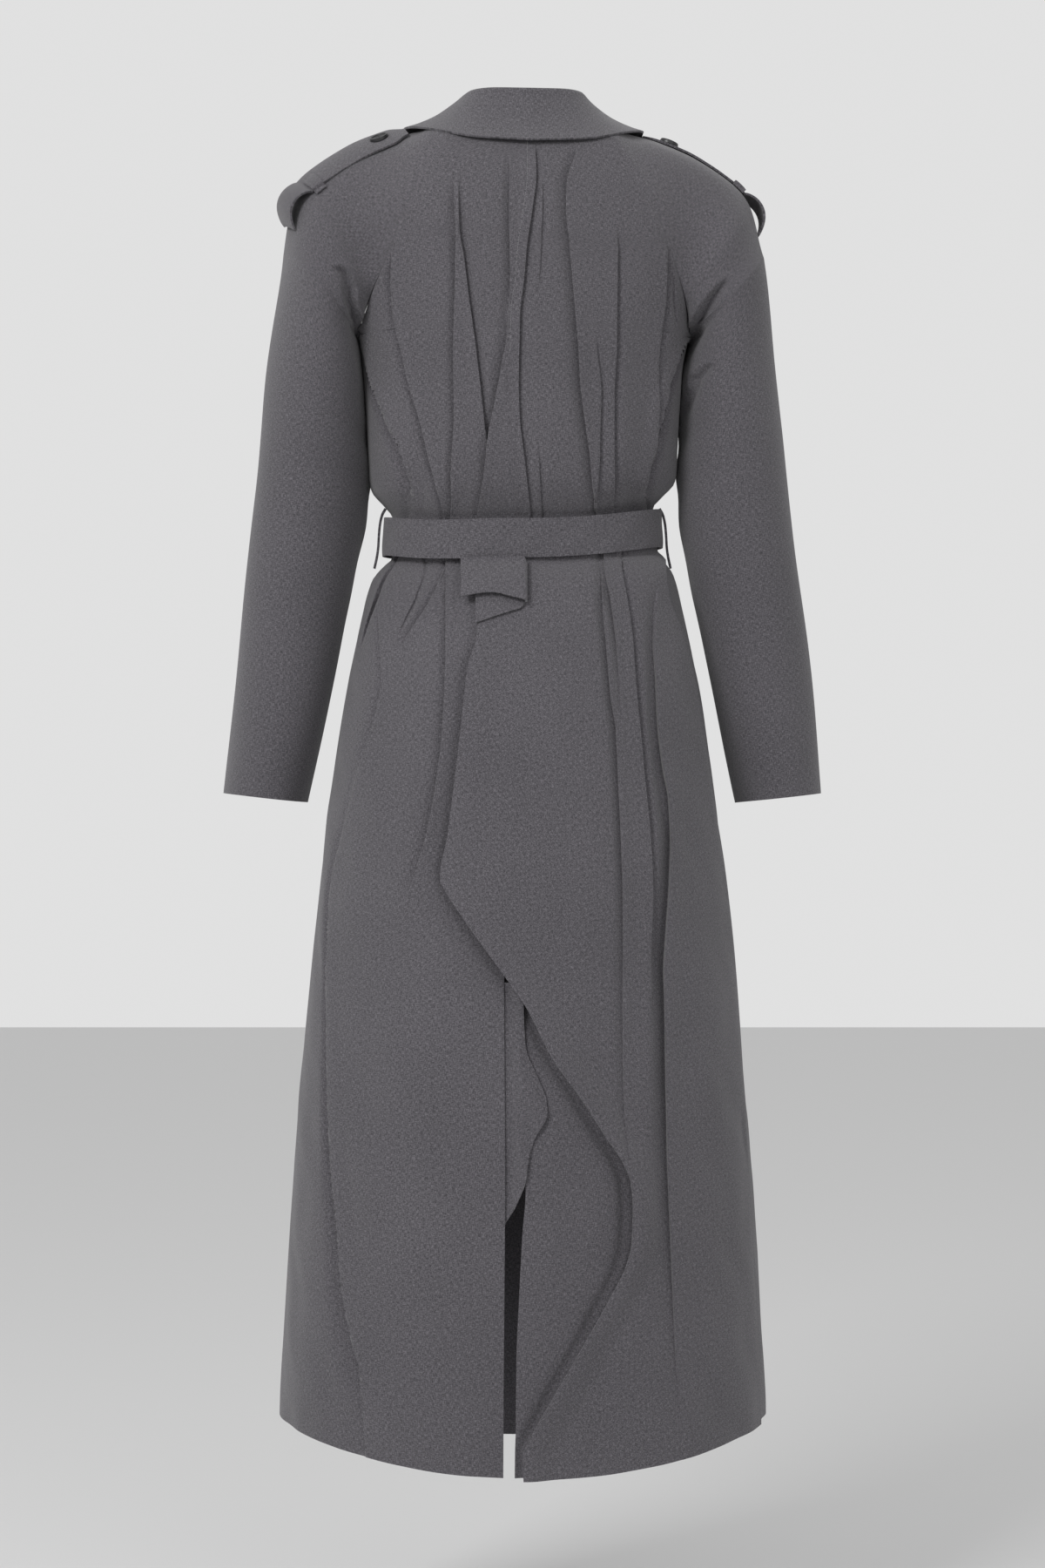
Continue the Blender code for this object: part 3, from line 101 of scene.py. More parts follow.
# Folds of the back, x and z as seen (mm), depth and reach on the low side (mm). highSide is -1
# where the cloth left of the line stands over it and 1 where the cloth right of it does.
lineColumns = ("x", "z", "depth", "reach")
folds = {
    "leftSide": {"highSide": 1, "lip": 0.0035, "rows": (
        (-165, -145, 7, 11), (-161, -168, 8, 12), (-156, -190, 9, 15), (-149, -222, 11, 18),
        (-143, -240, 12, 19), (-136, -256, 11, 20), (-128, -277, 9.5, 20), (-119, -299, 7.5, 19),
        (-113, -330, 5, 14), (-112, -358, 2.5, 10), (-122, -398, 0, 10), (-142, -440, 0, 12),
        (-150, -560, 0, 14), (-170, -640, 1.5, 16), (-184, -700, 3.4, 18), (-189, -741, 5, 18),
        (-190, -820, 7, 18), (-189, -900, 7.6, 20), (-186, -996, 8.4, 22), (-180, -1060, 8.4, 25),
        (-176, -1115, 8, 29), (-168, -1160, 7, 32), (-159, -1200, 5.6, 35), (-156, -1255, 2.6, 38),
        (-155, -1300, 0.4, 38),
    )},
    "leftBlade": {"highSide": 1, "rows": (
        (-126, -70, 0, 8), (-125, -85, 2.7, 10), (-128, -104, 4.73, 12), (-128, -129, 5.4, 12),
        (-126, -163, 5.4, 12), (-118, -197, 6.08, 12), (-110, -231, 6.75, 13), (-100, -265, 6.75, 13),
        (-92, -299, 6.75, 12), (-84, -333, 5.4, 11), (-78, -358, 2.7, 8), (-76, -392, 1.35, 6),
    )},
    "leftInner": {"highSide": 1, "rows": (
        (-68, -31, 0, 6), (-68, -46, 2.6, 7), (-66, -104, 3.9, 8), (-68, -197, 3.9, 8),
        (-67, -265, 4.16, 8), (-70, -316, 4.16, 8), (-71, -358, 2.6, 6), (-75, -392, 2.6, 6),
    )},
    "leftPleat": {"highSide": -1, "rows": (
        (-61, -31, 0, 6), (-61, -46, 2.2, 7), (-60, -78, 3.74, 8), (-56, -112, 3.96, 9),
        (-52, -146, 4.18, 9), (-45, -197, 4.4, 9), (-41, -231, 4.4, 9), (-37, -265, 3.74, 7),
        (-35, -282, 2.2, 5), (-34, -299, 0, 5),
    )},
    "leftCentre": {"highSide": 1, "rows": (
        (-14, -6, 0, 6), (-14, -19, 1.6, 7), (-14, -61, 3.2, 8), (-13, -112, 3.6, 9),
        (-14, -146, 3.6, 9), (-16, -180, 4, 10), (-21, -214, 4.2, 10), (-27, -248, 4.2, 10),
        (-34, -282, 4, 9), (-38, -316, 3.4, 8), (-44, -350, 2, 6), (-47, -367, 1, 6),
    )},
    "centre": {"highSide": -1, "rows": (
        (14, 2, 0, 6), (14, -6, 2.4, 8), (14, -27, 3.4, 9), (10, -61, 3.8, 9), (5, -95, 4, 10),
        (2, -129, 4, 10), (-2, -163, 4, 10), (-3, -231, 3.6, 9), (-2, -265, 3.4, 9),
        (2, -299, 3.4, 9), (6, -333, 3, 8), (9, -358, 2, 6), (11, -384, 1, 6),
    )},
    "centreRight": {"highSide": -1, "rows": (
        (21, -27, 0, 6), (21, -40, 1.6, 7), (19, -112, 1.6, 7), (17, -146, 0, 6), (17, -282, 0, 6),
        (18, -316, 1.8, 7), (20, -358, 1.6, 6), (21, -384, 1, 6),
    )},
    "rightInner": {"highSide": 1, "rows": (
        (53, 0, 0, 8), (51, -7, 2, 9), (47, -18, 3.4, 10), (43, -31, 3.8, 11), (42, -61, 4, 12),
        (45, -95, 4, 12), (48, -129, 4, 12), (51, -163, 4.2, 12), (54, -197, 4.2, 12),
        (56, -231, 4.2, 12), (60, -265, 4.2, 12), (65, -299, 4, 11), (68, -333, 3.6, 10),
        (71, -358, 2.4, 7), (73, -384, 2, 7),
    )},
    "rightSecond": {"highSide": -1, "rows": (
        (73, -180, 0, 6), (74, -197, 1.4, 7), (78, -240, 2.4, 8), (77, -282, 2.6, 8),
        (75, -333, 2.4, 8), (73, -358, 1.2, 6),
    )},
    "rightMiddle": {"highSide": -1, "rows": (
        (95, -80, 0, 7), (95, -93, 2, 8), (94, -112, 3.4, 10), (93, -146, 3.8, 10),
        (92, -197, 4, 10), (90, -248, 4, 10), (90, -299, 4, 10), (91, -350, 3, 8), (92, -376, 1, 6),
    )},
    "rightBlade": {"highSide": -1, "rows": (
        (144, -85, 0, 7), (144, -93, 2.64, 8), (141, -112, 4.32, 10), (140, -146, 4.32, 10),
        (136, -180, 4.08, 10), (133, -214, 3.6, 9), (132, -248, 3.12, 8), (129, -282, 2.4, 8),
        (126, -333, 1.2, 6),
    )},
    "rightBladeSecond": {"highSide": 1, "rows": (
        (146, -99, 0, 5), (147, -108, 1.8, 6), (148, -146, 2.2, 6), (149, -167, 1.2, 5),
        (150, -176, 0, 5),
    )},
    "drapeInner": {"highSide": 1, "rows": (
        (73, -391, 2.5, 8), (75, -418, 3.2, 9), (76, -452, 3.6, 9), (79, -486, 3.8, 9),
        (83, -537, 3.8, 9), (88, -571, 3.8, 9), (90, -622, 3.8, 9), (92, -673, 3.8, 9),
        (94, -741, 3.4, 9), (94, -809, 2.8, 9), (94, -877, 2.2, 8), (96, -962, 1.8, 8),
        (97, -996, 1.2, 7), (98, -1022, 0, 7),
    )},
    "drapeSecond": {"highSide": 1, "rows": (
        (76, -394, 3, 7), (79, -418, 3.6, 7), (82, -435, 3.6, 7), (87, -469, 3.2, 7),
        (90, -503, 2, 7), (92, -537, 1.4, 7), (93, -580, 0, 6),
    )},
    "drapeMiddle": {"highSide": -1, "rows": (
        (94, -391, 2.5, 8), (95, -410, 3, 9), (99, -435, 3.4, 10), (105, -478, 3.8, 10),
        (108, -520, 4, 11), (111, -562, 4.2, 11), (116, -622, 4.2, 11), (121, -690, 3.6, 11),
        (123, -741, 2.6, 11), (123, -792, 1.2, 11), (122, -860, 0, 10),
    )},
    "drapeValley": {"highSide": 1, "rows": (
        (129, -425, 0, 14), (126, -452, 2.6, 14), (125, -486, 4.6, 15), (127, -520, 5.4, 16),
        (129, -562, 6.4, 18), (133, -605, 7.4, 20), (139, -639, 8, 22), (140, -673, 8.2, 22),
        (138, -716, 8.4, 22), (135, -758, 8.4, 21), (133, -809, 8.4, 20), (134, -877, 8, 20),
        (136, -962, 6.6, 22), (139, -1064, 4.4, 25), (143, -1166, 2.2, 27), (148, -1251, 0.8, 28),
        (150, -1302, 0, 28),
    )},
    "skirtSideNear": {"highSide": -1, "rows": (
        (-121, -391, 2.5, 7), (-126, -405, 3, 7), (-136, -422, 3.4, 8), (-144, -444, 3.2, 8),
        (-153, -469, 2.4, 8), (-158, -490, 0, 7),
    )},
    "skirtSideSecond": {"highSide": 1, "rows": (
        (-142, -435, 0, 7), (-141, -452, 1.6, 8), (-139, -486, 2.4, 9), (-138, -516, 2.6, 10),
        (-144, -554, 2.2, 10), (-153, -584, 1.4, 10), (-160, -609, 0, 9),
    )},
    "skirtFaint": {"highSide": -1, "rows": (
        (-99, -391, 1.2, 7), (-96, -410, 1.8, 7), (-104, -439, 1.8, 8), (-114, -460, 1.6, 8),
        (-123, -482, 0, 8),
    )},
    "skirtStrong": {"highSide": 1, "rows": (
        (-75, -401, 3.6, 8), (-81, -422, 4.6, 10), (-88, -439, 4.8, 11), (-97, -454, 4.6, 11),
        (-106, -466, 4.2, 11), (-115, -479, 3.2, 10), (-122, -490, 0, 8),
    )},
    "skirtLong": {"highSide": 1, "rows": (
        (-74, -403, 2.52, 8), (-75, -435, 3.64, 9), (-75, -494, 4.2, 10), (-78, -562, 4.2, 10),
        (-85, -622, 3.92, 10), (-95, -673, 3.36, 10), (-104, -703, 2.52, 10), (-117, -741, 0, 9),
    )},
    "tabSide": {"highSide": 1, "rows": (
        (-54, -391, 0.8, 5), (-54, -406, 1.2, 5), (-56, -422, 0, 5),
    )},
    "rightSide": {"highSide": -1, "lip": 0.0035, "rows": (
        (182, -148, 7, 12), (174, -162, 8, 12), (167, -177, 8.5, 13), (160, -190, 9, 15),
        (150, -209, 9.5, 17), (146, -222, 10, 18), (140, -239, 10.5, 19), (134, -273, 9, 19),
        (128, -300, 7, 17), (125, -316, 5.5, 15), (123, -350, 3, 12),
        (126, -372, 1, 8), (128, -384, 0, 8),
    )},
}

# Free edges of the back, as they are seen (mm)
leftVentEdge = (
    (9, -358), (6, -400), (2, -560), (-3, -690), (-12, -760), (-18, -811), (-17, -1010),
    (-18, -1150), (-19, -1300),
)
rightVentEdge = (
    (9, -358), (6, -400), (2, -560), (0, -690), (1, -760), (3, -900), (3, -1020), (0, -1060),
    (-3, -1116), (-6, -1185), (-7, -1300),
)
drapeEdge = (
    (-43, -380), (-44, -478), (-51, -506), (-60, -590), (-70, -673), (-76, -705), (-76, -716),
    (-72, -724), (-47, -764), (-15, -811), (4, -840), (28, -889), (54, -928), (77, -966),
    (92, -990), (99, -1009), (101, -1032), (100, -1068), (96, -1087), (76, -1130), (46, -1186),
    (24, -1226), (5, -1262), (0, -1274), (1, -1300),
)
drapeSideEdge = (
    (134, -380), (139, -435), (156, -483), (171, -555), (183, -638), (194, -707), (204, -800),
    (217, -1000), (228, -1200), (230, -1300),
)
underlapEdge = (
    (2, -815), (1, -835), (3, -877), (16, -911), (23, -930), (24, -943), (12, -968), (6, -988),
    (3, -1010), (-7, -1034), (-16, -1050), (-22, -1062),
)
underlapInner = ((-30, -800), (-30, -1070))


def rise(value, start, end):
    t = np.clip((value - start) / (end - start), 0, 1)
    return t * t * (3 - 2 * t)


def smoothCurve(xs, ys, at):
    # a curve through the points, xs rising, that doesn't overshoot them
    xs = np.asarray(xs, float)
    ys = np.asarray(ys, float)
    steps = np.diff(xs)
    slopes = np.diff(ys) / steps
    tangents = np.empty(len(xs))
    tangents[0] = slopes[0]
    tangents[-1] = slopes[-1]
    before = slopes[:-1]
    after = slopes[1:]
    sameWay = before * after > 0
    tangents[1:-1] = np.where(sameWay, 2 * before * after / np.where(sameWay, before + after, 1), 0)
    at = np.clip(at, xs[0], xs[-1])
    i = np.clip(np.searchsorted(xs, at) - 1, 0, len(steps) - 1)
    t = (at - xs[i]) / steps[i]
    return (
        ys[i] * (1 + 2 * t) * (1 - t) ** 2
        + ys[i + 1] * t * t * (3 - 2 * t)
        + steps[i] * tangents[i] * t * (1 - t) ** 2
        + steps[i] * tangents[i + 1] * t * t * (t - 1)
    )


def stepLengths(grid, axis):
    return np.linalg.norm(np.diff(grid, axis=axis), axis=-1)


def summedFrom0(steps):
    return np.concatenate([[0], np.cumsum(steps)])


def column(rows, names, name):
    return np.array([row[names.index(name)] for row in rows], float)


def byLevel(rows, names, name, level):
    levels = column(rows, names, "level")[::-1]
    return float(smoothCurve(levels, column(rows, names, name)[::-1], level))


def alongLine(rows, name, z):
    # a seen line's value at seen heights, all in metres
    heights = column(rows, lineColumns, "z")[::-1] / 1000
    return smoothCurve(heights, column(rows, lineColumns, name)[::-1] / 1000, z)


def twisted(points):
    # turned about Z with the shoulders
    points = np.asarray(points, float)
    angle = math.radians(coat["twist"]) * rise(points[..., 2], coat["belt"], -0.10)
    x = points[..., 0] * np.cos(angle) - points[..., 1] * np.sin(angle)
    y = points[..., 0] * np.sin(angle) + points[..., 1] * np.cos(angle)
    return np.stack([x, y, points[..., 2]], axis=-1)


def seenFrom(points):
    # where the eye sees points on the plane of the side seams: x and z
    nearness = (eye["distance"] + points[..., 1]) / eye["distance"]
    return points[..., 0] / nearness, eye["level"] + (points[..., 2] - eye["level"]) / nearness


def crossing(rows, way, seenX, seenZ):
    # the distance along an outline at which it crosses a seen line, left to right
    gap = seenX - alongLine(rows, "x", seenZ)
    signChange = np.flatnonzero(np.diff(np.sign(gap)) > 0)
    if len(signChange) == 0:
        return way[np.argmin(np.abs(gap))]
    i = signChange[0]
    share = -gap[i] / (gap[i + 1] - gap[i])
    return way[i] * (1 - share) + way[i + 1] * share


def pointsAlong(ways, way, points):
    return np.stack([np.interp(ways, way, points[:, k]) for k in range(3)], axis=-1)


class BodySection:
    # the body's outline at one level, measured by the distance round it from the mid back:
    # positive to the wearer's right, past the side seam and round the front
    turn = np.radians(np.linspace(-250, 250, 1501))

    def __init__(self, level):
        self.level = level
        halfWidth, back, front, power = (
            byLevel(bodyRows, bodyColumns, name, level) for name in bodyColumns[1:]
        )
        sine = np.sin(self.turn)
        cosine = np.cos(self.turn)
        x = halfWidth * np.sign(sine) * np.abs(sine) ** (2 / power)
        y = -np.where(cosine > 0, back, front) * np.sign(cosine) * np.abs(cosine) ** (2 / power)
        atBack = np.where(cosine > 0, cosine ** 2, 0)
        atFront = np.where(cosine < 0, cosine ** 2, 0)
        hemBack = np.where(cosine > 0, np.abs(cosine) ** coat["hemPower"], 0)
        nearBelt = rise(level, -0.27, coat["belt"] + 0.02) * (1 - rise(level, coat["belt"] - 0.03, -0.60))
        nearHem = rise(level, -0.60, coat["hem"])
        nearNeck = rise(level, -0.06, coat["neck"])
        z = (
            level
            - (coat["beltDroop"] * atBack + coat["beltTilt"] * rise(-x, 0.01, 0.12)) * nearBelt
            - nearHem * (coat["hemDroopBack"] * hemBack + coat["hemDroopFront"] * atFront)
            + coat["neckLift"] * nearNeck * np.where(cosine > 0, (x / 0.07) ** 2, 0)
        )
        way = summedFrom0(np.hypot(np.diff(x), np.diff(y)))
        self.way = way - np.interp(0, self.turn, way)
        self.x = x
        self.points = twisted(np.stack([x, y, z], axis=-1))
        along = np.gradient(self.points[:, :2], axis=0)
        along /= np.linalg.norm(along, axis=1)[:, None]
        self.normals = np.stack([along[:, 1], -along[:, 0], 0 * along[:, 0]], axis=-1)
        self.backEdge = self.frontEdge = np.interp(np.pi / 2, self.turn, self.way)
        if level > coat["underarm"]:
            reach = byLevel(raglanRows, raglanColumns, "reach", level)
            quarter = (self.turn >= 0) & (self.turn <= np.pi / 2)
            self.backEdge = np.interp(reach, x[quarter], self.way[quarter])
            quarter = (self.turn >= np.pi / 2) & (self.turn <= np.pi)
            self.frontEdge = np.interp(-reach, -x[quarter], self.way[quarter])
        back = np.abs(self.turn) < np.pi / 2
        self.seenWay = self.way[back]
        self.seenX, self.seenZ = seenFrom(self.points[back])

    def whereSeen(self, rows):
        return crossing(rows, self.seenWay, self.seenX, self.seenZ)

    def seenHeight(self, way):
        return np.interp(way, self.seenWay, self.seenZ)

    def frontWay(self, x):
        # the distance round the outline to a place on the front, x from the middle
        front = (self.turn > np.pi / 2) & (self.turn < np.radians(250))
        return np.interp(-x, -self.x[front], self.way[front])

    def at(self, ways, offset=0.0):
        points = pointsAlong(ways, self.way, self.points)
        normals = pointsAlong(ways, self.way, self.normals)
        normals /= np.linalg.norm(normals, axis=-1)[..., None]
        return points + normals * np.asarray(offset)[..., None]


def foldProfile(beyond, depth, reach, lip):
    # beyond is the distance past the fold's bottom towards its high side
    low = -depth * (1 - rise(-beyond, 0, reach)) ** 1.35
    lift = 0.32 * depth
    climb = -depth + (depth + lift) * rise(beyond, 0, lip)
    down = lift * (1 - rise(beyond, lip, lip + reach))
    return np.where(beyond <= 0, low, np.where(beyond < lip, climb, down))


def foldShift(beyond, depth, reach, lip):
    # the lip lies over the bottom, as in a real pleat: how far each point moves to the high side
    under = 0.5 * depth * rise(beyond, -0.5 * reach, 0)
    across = 0.5 * depth * (1 - 2 * rise(beyond, 0, lip))
    over = -0.5 * depth * (1 - rise(beyond, lip, lip + 0.6 * reach))
    return np.where(beyond <= 0, under, np.where(beyond < lip, across, over))


foldLip = 0.0024              # width of a fold's steep side
drawnBefore = 0.080           # columns turn gently towards a fold, from this far above and below it


def foldPlaces(section, names):
    # bottom, depth, reach, high side and lip of each named fold at this level, and how much it
    # draws the columns close
    places = []
    for name in names:
        fold = folds[name]
        rows = fold["rows"]
        bottom = section.whereSeen(rows)
        z = section.seenHeight(bottom)
        beyond = max(rows[-1][1] / 1000 - z, z - rows[0][1] / 1000, 0.0)
        weight = 1 - float(rise(beyond, 0.0, drawnBefore))
        if weight <= 0:
            continue
        depth = float(alongLine(rows, "depth", z)) if beyond == 0 else 0.0
        reach = float(alongLine(rows, "reach", z))
        places.append((bottom, depth, reach, fold["highSide"], fold.get("lip", foldLip), weight))
    return places


def wander(across, along, seed, amount):
    # slow unevenness of hanging cloth: a few long waves
    steps = (
        (0.61, 0.083, 0.31), (1.00, 0.127, 1.70), (0.43, 0.061, 4.10), (0.29, 0.041, 2.60),
        (0.35, 0.210, 5.20),
    )
    total = 0
    for share, length, phase in steps:
        angle = 2 * np.pi * (across / length + along / (length * 3.1)) + phase * seed
        total = total + share * np.sin(angle + 1.3 * np.sin(2 * np.pi * along / (length * 2.3) + phase))
    return amount * total / 1.8


def spreadColumns(first, last, count, places, near=0.0045, pull=6.0):
    # evenly spaced columns drawn closer round the folds
    ways = np.linspace(first, last, 700)
    density = np.ones(len(ways))
    for bottom, depth, reach, highSide, lip, weight in places:
        middle = bottom + highSide * lip / 2
        density += pull * weight * np.exp(-((ways - middle) / near) ** 2)
    total = summedFrom0((density[1:] + density[:-1]) / 2)
    return np.interp(np.linspace(0, total[-1], count), total, ways)


def fromHex(text):
    # an sRGB hex value as linear colour
    parts = [int(text[k:k + 2], 16) / 255 for k in (1, 3, 5)]
    return [p / 12.92 if p <= 0.04045 else ((p + 0.055) / 1.055) ** 2.4 for p in parts] + [1.0]


def addNode(tree, kind, settings=None, inputs=None, links=None):
    node = tree.nodes.new(kind)
    for name, value in (settings or {}).items():
        setattr(node, name, value)
    for name, value in (inputs or {}).items():
        node.inputs[name].default_value = value
    for name, socket in (links or {}).items():
        tree.links.new(socket, node.inputs[name])
    return node


# Wool suiting, woven plain from fibres dyed light and dark before spinning: a matt mid grey that
# breaks up into fine flecks along both threads.
suiting = {
    "dark": "#343236",
    "middle": "#49474b",
    "light": "#636065",
    "threadPitch": 0.0010,    # the real one is about 0.5 mm: twice that shows in the render
    "slubLength": 0.0034,
    "slubWidth": 0.0007,
    "fleckSize": 0.0007,
    "fleckShare": 0.9,
    "patchScale": 9.0,        # slow changes of tone, 0.11 m long
    "patchShare": 0.12,
    "weaveShare": 0.35,
    "roughness": 0.93,
    "sheen": 0.18,
    "bump": 0.00016,
}


def newMaterial(name, inputs):
    material = bpy.data.materials.new(name)
    material.use_nodes = True
    shader = material.node_tree.nodes["Principled BSDF"]
    for key, value in inputs.items():
        shader.inputs[key].default_value = value
    return material, material.node_tree, shader


def flatNoise(tree, cloth, scale, detail, roughness):
    return addNode(
        tree, "ShaderNodeTexNoise", {"noise_dimensions": "2D"},
        {"Scale": scale, "Detail": detail, "Roughness": roughness}, {"Vector": cloth.outputs["Vector"]},
    ).outputs["Fac"]


def addedIn(tree, value, share, to):
    # value times its share, added to another value
    node = addNode(tree, "ShaderNodeMath", {"operation": "MULTIPLY_ADD"}, {1: share}, {0: value, 2: to})
    return node.outputs["Value"]


def makeSuiting(name, turnDegrees):
    material, tree, shader = newMaterial(name, {
        "Roughness": suiting["roughness"], "Specular IOR Level": 0.25,
        "Sheen Weight": suiting["sheen"], "Sheen Roughness": 0.55,
    })
    cloth = addNode(tree, "ShaderNodeUVMap", {"uv_map": "weave"})
    turned = addNode(
        tree, "ShaderNodeMapping",
        inputs={"Rotation": (0, 0, math.radians(turnDegrees))}, links={"Vector": cloth.outputs["UV"]},
    )
    slubs = []
    size = (1 / suiting["slubWidth"], 1 / suiting["slubLength"])
    for across, along in (size, size[::-1]):
        stretch = addNode(
            tree, "ShaderNodeMapping",
            inputs={"Scale": (across, along, 1)}, links={"Vector": turned.outputs["Vector"]},
        )
        slubs.append(flatNoise(tree, stretch, 1.0, 2.0, 0.6))
    flecks = flatNoise(tree, turned, 1 / suiting["fleckSize"], 3.0, 0.65)
    patches = flatNoise(tree, turned, suiting["patchScale"], 2.0, 0.5)
    threads = addNode(tree, "ShaderNodeMath", {"operation": "ADD"}, links={0: slubs[0], 1: slubs[1]})
    speckle = addedIn(tree, flecks, suiting["fleckShare"], threads.outputs["Value"])
    mottle = addedIn(tree, patches, suiting["patchShare"], speckle)
    spread = addNode(
        tree, "ShaderNodeMapRange", inputs={"From Min": 1.22, "From Max": 1.80}, links={"Value": mottle},
    )
    tones = addNode(tree, "ShaderNodeValToRGB", links={"Fac": spread.outputs["Result"]})
    tones.color_ramp.elements[0].color = fromHex(suiting["dark"])
    tones.color_ramp.elements[1].color = fromHex(suiting["light"])
    tones.color_ramp.elements.new(0.5).color = fromHex(suiting["middle"])
    tree.links.new(tones.outputs["Color"], shader.inputs["Base Color"])
    weave = addNode(
        tree, "ShaderNodeTexBrick", {"offset": 0.5},
        {"Scale": 1 / suiting["threadPitch"], "Mortar Size": 0.12, "Mortar Smooth": 1.0,
         "Brick Width": 1.0, "Row Height": 0.5,
         "Color1": (1, 1, 1, 1), "Color2": (0.8, 0.8, 0.8, 1), "Mortar": (0, 0, 0, 1)},
        {"Vector": turned.outputs["Vector"]},
    )
    raised = addedIn(tree, weave.outputs["Color"], suiting["weaveShare"], speckle)
    bump = addNode(
        tree, "ShaderNodeBump", inputs={"Strength": 0.8, "Distance": suiting["bump"]},
        links={"Height": raised},
    )
    tree.links.new(bump.outputs["Normal"], shader.inputs["Normal"])
    return material


# Polyester resin, cast and tumbled: nearly black with a low, soft gloss and faint paler marbling
resin = {"dark": "#0f0f11", "light": "#1f1e21", "smoothest": 0.32, "roughest": 0.48, "marbling": 0.004}


def makeResin():
    material, tree, shader = newMaterial("castButtonResin", {"IOR": 1.52})
    place = addNode(tree, "ShaderNodeTexCoord")
    cloud = addNode(
        tree, "ShaderNodeTexNoise", links={"Vector": place.outputs["Object"]},
        inputs={"Scale": 1 / resin["marbling"], "Detail": 3.0, "Distortion": 1.2},
    )
    tones = addNode(tree, "ShaderNodeValToRGB", links={"Fac": cloud.outputs["Fac"]})
    tones.color_ramp.elements[0].position = 0.35
    tones.color_ramp.elements[0].color = fromHex(resin["dark"])
    tones.color_ramp.elements[1].position = 0.75
    tones.color_ramp.elements[1].color = fromHex(resin["light"])
    tree.links.new(tones.outputs["Color"], shader.inputs["Base Color"])
    shine = addNode(
        tree, "ShaderNodeMapRange",
        inputs={"To Min": resin["smoothest"], "To Max": resin["roughest"]},
        links={"Value": cloud.outputs["Fac"]},
    )
    tree.links.new(shine.outputs["Result"], shader.inputs["Roughness"])
    return material


straightGrain = makeSuiting("plainWovenWoolSuiting", 0)
biasGrain = makeSuiting("plainWovenWoolSuitingOnTheBias", 25)
buttonResin = makeResin()
print("materials done")


def meshPiece(name, vertices, faces, uvs, material):
    mesh = bpy.data.meshes.new(name)
    mesh.from_pydata([tuple(v) for v in vertices], [], faces)
    layer = mesh.uv_layers.new(name="weave")
    corners = np.empty(len(mesh.loops), int)
    mesh.loops.foreach_get("vertex_index", corners)
    layer.data.foreach_set("uv", np.asarray(uvs, np.float32)[corners].ravel())
    mesh.materials.append(material)
    piece = bpy.data.objects.new(name, mesh)
    bpy.context.scene.collection.objects.link(piece)
    return piece


def selectOnly(piece):
    bpy.ops.object.select_all(action="DESELECT")
    bpy.context.view_layer.objects.active = piece
    piece.select_set(True)


def applyAll(piece):
    selectOnly(piece)
    for modifier in list(piece.modifiers):
        bpy.ops.object.modifier_apply(modifier=modifier.name)


def smoothShade(piece, degrees=60):
    selectOnly(piece)
    bpy.ops.object.shade_smooth_by_angle(angle=math.radians(degrees))
    piece.select_set(False)


def standsFor(piece, node):
    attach(piece, "root")
    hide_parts(node)


def clothPiece(name, node, grid, wall=None, closed=False, flipped=False, material=None,
               held="hung", restsOn=()):
    # a sheet from points on its outer face, rows downwards, columns to the right from outside
    grid = np.asarray(grid, float)
    if flipped:
        grid = grid[:, ::-1]
    rows, columns = grid.shape[:2]
    across = np.array([summedFrom0(row) for row in stepLengths(grid, 1)])
    across -= across[:, columns // 2][:, None]
    down = summedFrom0(stepLengths(grid, 0).mean(1))
    uvs = np.stack([across, np.repeat(-down[:, None], columns, 1)], -1).reshape(-1, 2)
    number = np.arange(rows * columns).reshape(rows, columns)
    faces = np.stack([number[:-1, :-1], number[1:, :-1], number[1:, 1:], number[:-1, 1:]], -1)
    faces = faces.reshape(-1, 4).tolist()
    piece = meshPiece(name, grid.reshape(-1, 3), faces, uvs, material or straightGrain)
    if closed:
        shape = bmesh.new()
        shape.from_mesh(piece.data)
        bmesh.ops.remove_doubles(shape, verts=shape.verts, dist=0.00002)
        shape.to_mesh(piece.data)
        shape.free()
    solid = piece.modifiers.new("cloth", "SOLIDIFY")
    solid.thickness = wall or coat["wall"]
    solid.offset = -1
    applyAll(piece)
    smoothShade(piece)
    standsFor(piece, node)


# The back: two panels from the neck seam to the hem
backPanels = {
    "rowSpacing": 0.0046,
    "columns": 144,
    "wander": 0.0011,
    "seamFade": 0.014,        # folds fade out this close to the side and raglan seams,
    "sideFade": 0.007,        # and those that run on over the raglan seams this close
    "shiftFade": 0.006,
    "centreFade": (0.0005, 0.0060),
    "edgePress": {"depth": 0.0030, "away": 0.002, "halfWidth": 0.005, "levels": (-0.44, -0.50)},
    "centreSeamInset": 0.0090,
    "left": ("leftBlade", "leftInner", "leftPleat", "leftCentre", "skirtSideNear",
             "skirtSideSecond", "skirtFaint", "skirtStrong", "skirtLong", "tabSide"),
    "right": ("centre", "centreRight", "rightInner", "rightSecond", "rightMiddle", "rightBlade",
              "rightBladeSecond"),
    "side": {-1: "leftSide", 1: "rightSide"},
}


def levelsFrom(top, bottom, spacing):
    return np.linspace(top, bottom, int(round((top - bottom) / spacing)) + 1)


# Rows lie closer together at the underarm, where the seam turns
underarmRows = {
    "above": coat["underarm"] + 0.020,
    "below": coat["underarm"] - 0.004,
    "spacing": 0.0010,
}


def panelLevels(top, spacing):
    above, below, fine = underarmRows["above"], underarmRows["below"], underarmRows["spacing"]
    return np.concatenate([
        levelsFrom(top, above, spacing), levelsFrom(above, below, fine)[1:],
        levelsFrom(below, coat["hem"], spacing)[1:],
    ])


def foldedCloth(ways, places):
    # how far folds lift the cloth, and how far they shift it sideways
    height = np.zeros(len(ways))
    shift = np.zeros(len(ways))
    for bottom, depth, reach, highSide, lip, weight in places:
        beyond = (ways - bottom) * highSide
        height += foldProfile(beyond, depth, reach, lip)
        shift += foldShift(beyond, depth, reach, lip) * highSide
    return height, shift


